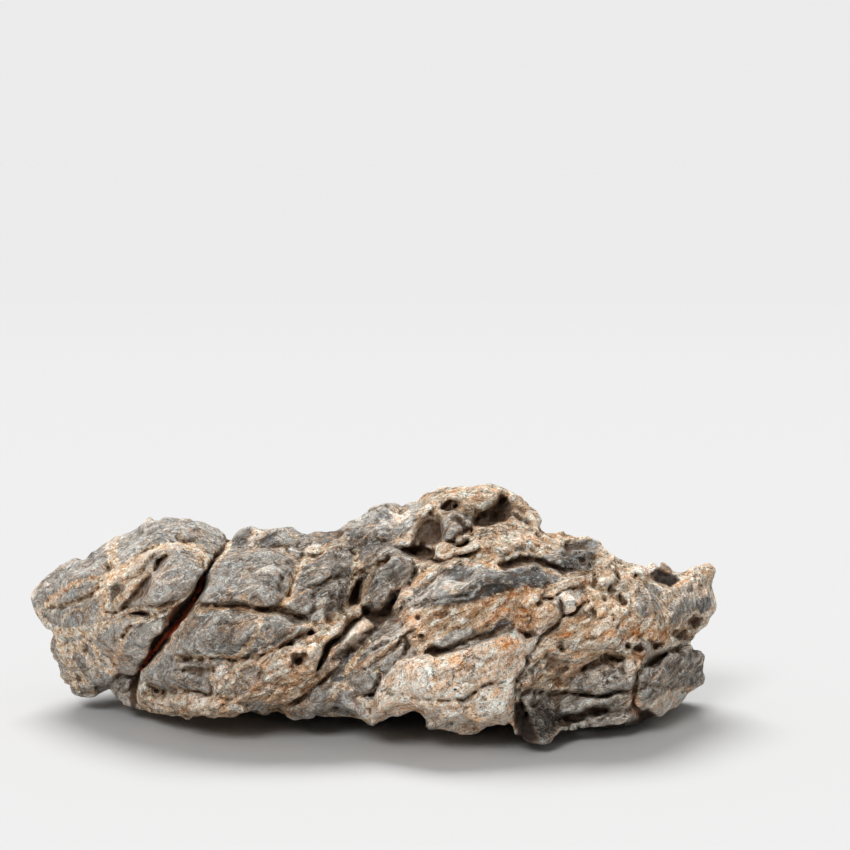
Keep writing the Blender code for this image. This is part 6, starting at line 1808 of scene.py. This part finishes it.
def tone(n, crust, fine):
    """What the colour is multiplied by: light and dark grain, which follows the finest bump and so is partly
    painted shade and light, dull places that are partly painted shade, and cooler and warmer stains.
    """
    # Darker in the pits of the finest bump and lighter on its rises: painted shade and painted light, over
    # the grain.
    shade = n.sum("MULTIPLY_ADD", n.sum("SUBTRACT", fine, 0.5), 1.5, 1.05)
    shade = n.sum("MULTIPLY_ADD", n.sum("SUBTRACT", n.noise(0.5, 3.0, 0.8), 0.5), 2.6, shade)
    stain = n.sum("SUBTRACT", n.noise(2.5, 7.0, 0.75, n.bedded), 0.5)
    stain = n.sum("MULTIPLY", stain, n.step(crust, 0.0, 1.0, 0.5, 1.1))
    stain = n.sum("MULTIPLY_ADD", n.layer("rust"), 0.12, stain)
    stain = n.sum("MULTIPLY_ADD", n.sum("SUBTRACT", 1.05, shade), 0.15, stain)
    # The dull places: partly darker rock, partly painted shade.
    shade = n.sum("ADD", shade, n.sum("MINIMUM", n.layer("bleach_light_shade"), 0.0))
    tints = [n.sum("MULTIPLY", shade, n.sum("MULTIPLY_ADD", stain, tint, share)) for share, tint in WARMTH]
    return n.new("ShaderNodeCombineXYZ", {}, dict(enumerate(tints))).outputs[0]


def rock_colour(n):
    """The rock's colour: its kinds and veins, what weather did to them, and the shade painted in its pores,
    cracks, pits and hollows.
    """
    fine = n.noise(1.6, 5.0, 0.7)
    crust = n.sum("MAXIMUM", n.layer("tan"), n.layer("cream"))
    colour = weathered(n, veined(n, bare_rock(n), fine), crust, fine)
    colour = n.blend(1.0, colour, tone(n, crust, fine), "MULTIPLY")
    # Painted shade in the crust's pores.
    pores = n.sum("MULTIPLY", n.step(n.cells(1.7), 0.2, 0.06), n.step(crust, 0.3, 0.8, 0.15, 0.75))
    # Painted shade in cracks, pits and hollows, darkest where they are deepest.
    painted_hollow_shade = n.sum("MULTIPLY", n.step(n.layer("hollow"), 0.1, 0.6), 0.85)
    dark = n.sum("MULTIPLY", n.step(n.layer("hollow"), 0.5, 1.0), 0.9)
    red = n.ragged("ember", fine, 0.72, 0.88, 0.6)
    for share, other in ((pores, PORE), (painted_hollow_shade, HOLLOW_SHADE), (dark, HOLLOW_DEEP_SHADE), (red, EMBER)):
        colour = n.blend(share, colour, other)
    return colour


def rock_height(n):
    """The rock's finest relief, in mm: broken faces, thin cracks, grains and the crust's pores."""
    crust = n.step(n.sum("MAXIMUM", n.layer("tan"), n.layer("cream")), 0.3, 0.7)
    wavering = n.stirred(0.9, 3.0, n.bedded)
    height = n.sum("MULTIPLY", n.facets(5.0, wavering), 0.5)
    height = n.sum("MULTIPLY_ADD", n.facets(2.2, wavering), 0.75, height)
    height = n.sum("MULTIPLY_ADD", n.facets(1.0, wavering), 0.8, height)
    pores = n.sum("MULTIPLY", crust, n.step(n.cells(1.6), 0.34, 0.1, 0.0, 0.8))
    height = n.sum("SUBTRACT", height, pores)
    height = n.sum("MULTIPLY_ADD", crossing(n, HAIR_CRACKS), -HAIR_CRACK_DEPTH, height)
    height = n.sum("MULTIPLY_ADD", n.noise(1.6, 5.0, 0.7), 0.6, height)
    height = n.sum("MULTIPLY_ADD", n.noise(1.0, 4.0, 0.65, n.scratched), 0.25, height)
    return n.sum("MULTIPLY_ADD", n.noise(0.6, 3.0, 0.8), 0.3, height)


def limestone():
    """Grey limestone with its crusts, veins, slate and rust, and the shade painted in its cracks and hollows.
    """
    material = bpy.data.materials.new("limestone")
    n = Nodes(material)
    n.tree.links.new(rock_colour(n), n.shader.inputs["Base Color"])
    n.tree.links.new(n.step(n.noise(5.0), 0.3, 0.7, *ROUGHNESS), n.shader.inputs["Roughness"])
    n.shader.inputs["Specular IOR Level"].default_value = SHINE
    bump = n.new("ShaderNodeBump", {}, {"Height": rock_height(n), "Strength": 1.0, "Distance": BUMP})
    n.tree.links.new(bump.outputs[0], n.shader.inputs["Normal"])
    return material


def make_stone():
    """The stone's visible surface, in place of the solid."""
    charts = draw_charts()
    mesh = stone_mesh(charts)
    surface = bpy.data.objects.new("stone_surface", mesh)
    bpy.context.scene.collection.objects.link(surface)
    thin(surface)
    paint(surface.data, charts)
    surface.data.shade_smooth()
    surface.data.materials.clear()
    surface.data.materials.append(limestone())
    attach(surface, "root")
    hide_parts("stone")


def make_floor():
    """A plain pale floor, a little brighter near the stone than at the horizon."""
    mesh = bpy.data.meshes.new("floor")
    corners = [(x * FLOOR_REACH, y * FLOOR_REACH, 0.0) for x, y in ((-1, -1), (1, -1), (1, 1), (-1, 1))]
    mesh.from_pydata(corners, [], [(0, 1, 2, 3)])
    floor = bpy.data.objects.new("floor", mesh)
    bpy.context.scene.collection.objects.link(floor)
    material = bpy.data.materials.new("pale_floor")
    n = Nodes(material)
    away = n.new("ShaderNodeVectorMath", {"operation": "LENGTH"}, {0: n.place}).outputs["Value"]
    falling = [strength / math.pi * -Vector(travel).normalized().z for _, strength, _, travel in LAMPS]
    light = SKY_LOW + SKY_SHARE * (SKY_HIGH - SKY_LOW) + sum(falling)
    close, distant = (FLOOR_BRIGHTNESS / light,) * 3, (BACKDROP / light,) * 3
    colour = n.blend(n.step(away, *FLOOR_FADE), close, distant)
    n.tree.links.new(colour, n.shader.inputs["Base Color"])
    n.shader.inputs["Roughness"].default_value = 1.0
    n.shader.inputs["Specular IOR Level"].default_value = 0.0
    mesh.materials.append(material)


def make_light():
    """A soft pale sky with its backdrop, and the two lamps."""
    scene = bpy.context.scene
    world = bpy.data.worlds.new("studio")
    scene.world = world
    world.use_nodes = True
    tree = world.node_tree
    background = tree.nodes["Background"]
    background.inputs["Color"].default_value = (1.0, 1.0, 1.0, 1.0)
    direction = tree.nodes.new("ShaderNodeTexCoord").outputs["Generated"]
    upward = tree.nodes.new("ShaderNodeSeparateXYZ")
    tree.links.new(direction, upward.inputs[0])
    sky = tree.nodes.new("ShaderNodeMapRange")
    sky.interpolation_type = "SMOOTHSTEP"
    sky.inputs["From Max"].default_value = SKY_TOP
    sky.inputs["To Min"].default_value = SKY_LOW
    sky.inputs["To Max"].default_value = SKY_HIGH
    tree.links.new(upward.outputs["Z"], sky.inputs["Value"])
    level = tree.nodes.new("ShaderNodeMapRange")
    level.inputs["To Max"].default_value = BACKDROP
    tree.links.new(tree.nodes.new("ShaderNodeLightPath").outputs["Is Camera Ray"], level.inputs["Value"])
    tree.links.new(sky.outputs[0], level.inputs["To Min"])
    tree.links.new(level.outputs[0], background.inputs["Strength"])
    for name, strength, spread, travel in LAMPS:
        lamp = bpy.data.lights.new(name, "SUN")
        lamp.energy = strength
        lamp.angle = math.radians(spread)
        holder = bpy.data.objects.new(name, lamp)
        holder.rotation_euler = Vector(travel).to_track_quat("-Z", "Y").to_euler()
        scene.collection.objects.link(holder)
    scene.view_settings.view_transform = "Standard"


def make_camera():
    """The camera, where the drawing is seen from."""
    camera = bpy.data.cameras.new("camera")
    camera.sensor_width = SENSOR_WIDTH
    camera.lens = camera.sensor_width * FOCAL / DRAWING_SIDE
    holder = bpy.data.objects.new("camera", camera)
    holder.location = (EYE - MIDDLE) * METRES_PER_MM
    holder.rotation_euler = (math.pi / 2 - VIEW_PITCH, 0.0, 0.0)
    bpy.context.scene.collection.objects.link(holder)
    bpy.context.scene.camera = holder


def main():
    make_stone()
    make_floor()
    make_light()
    make_camera()


main()
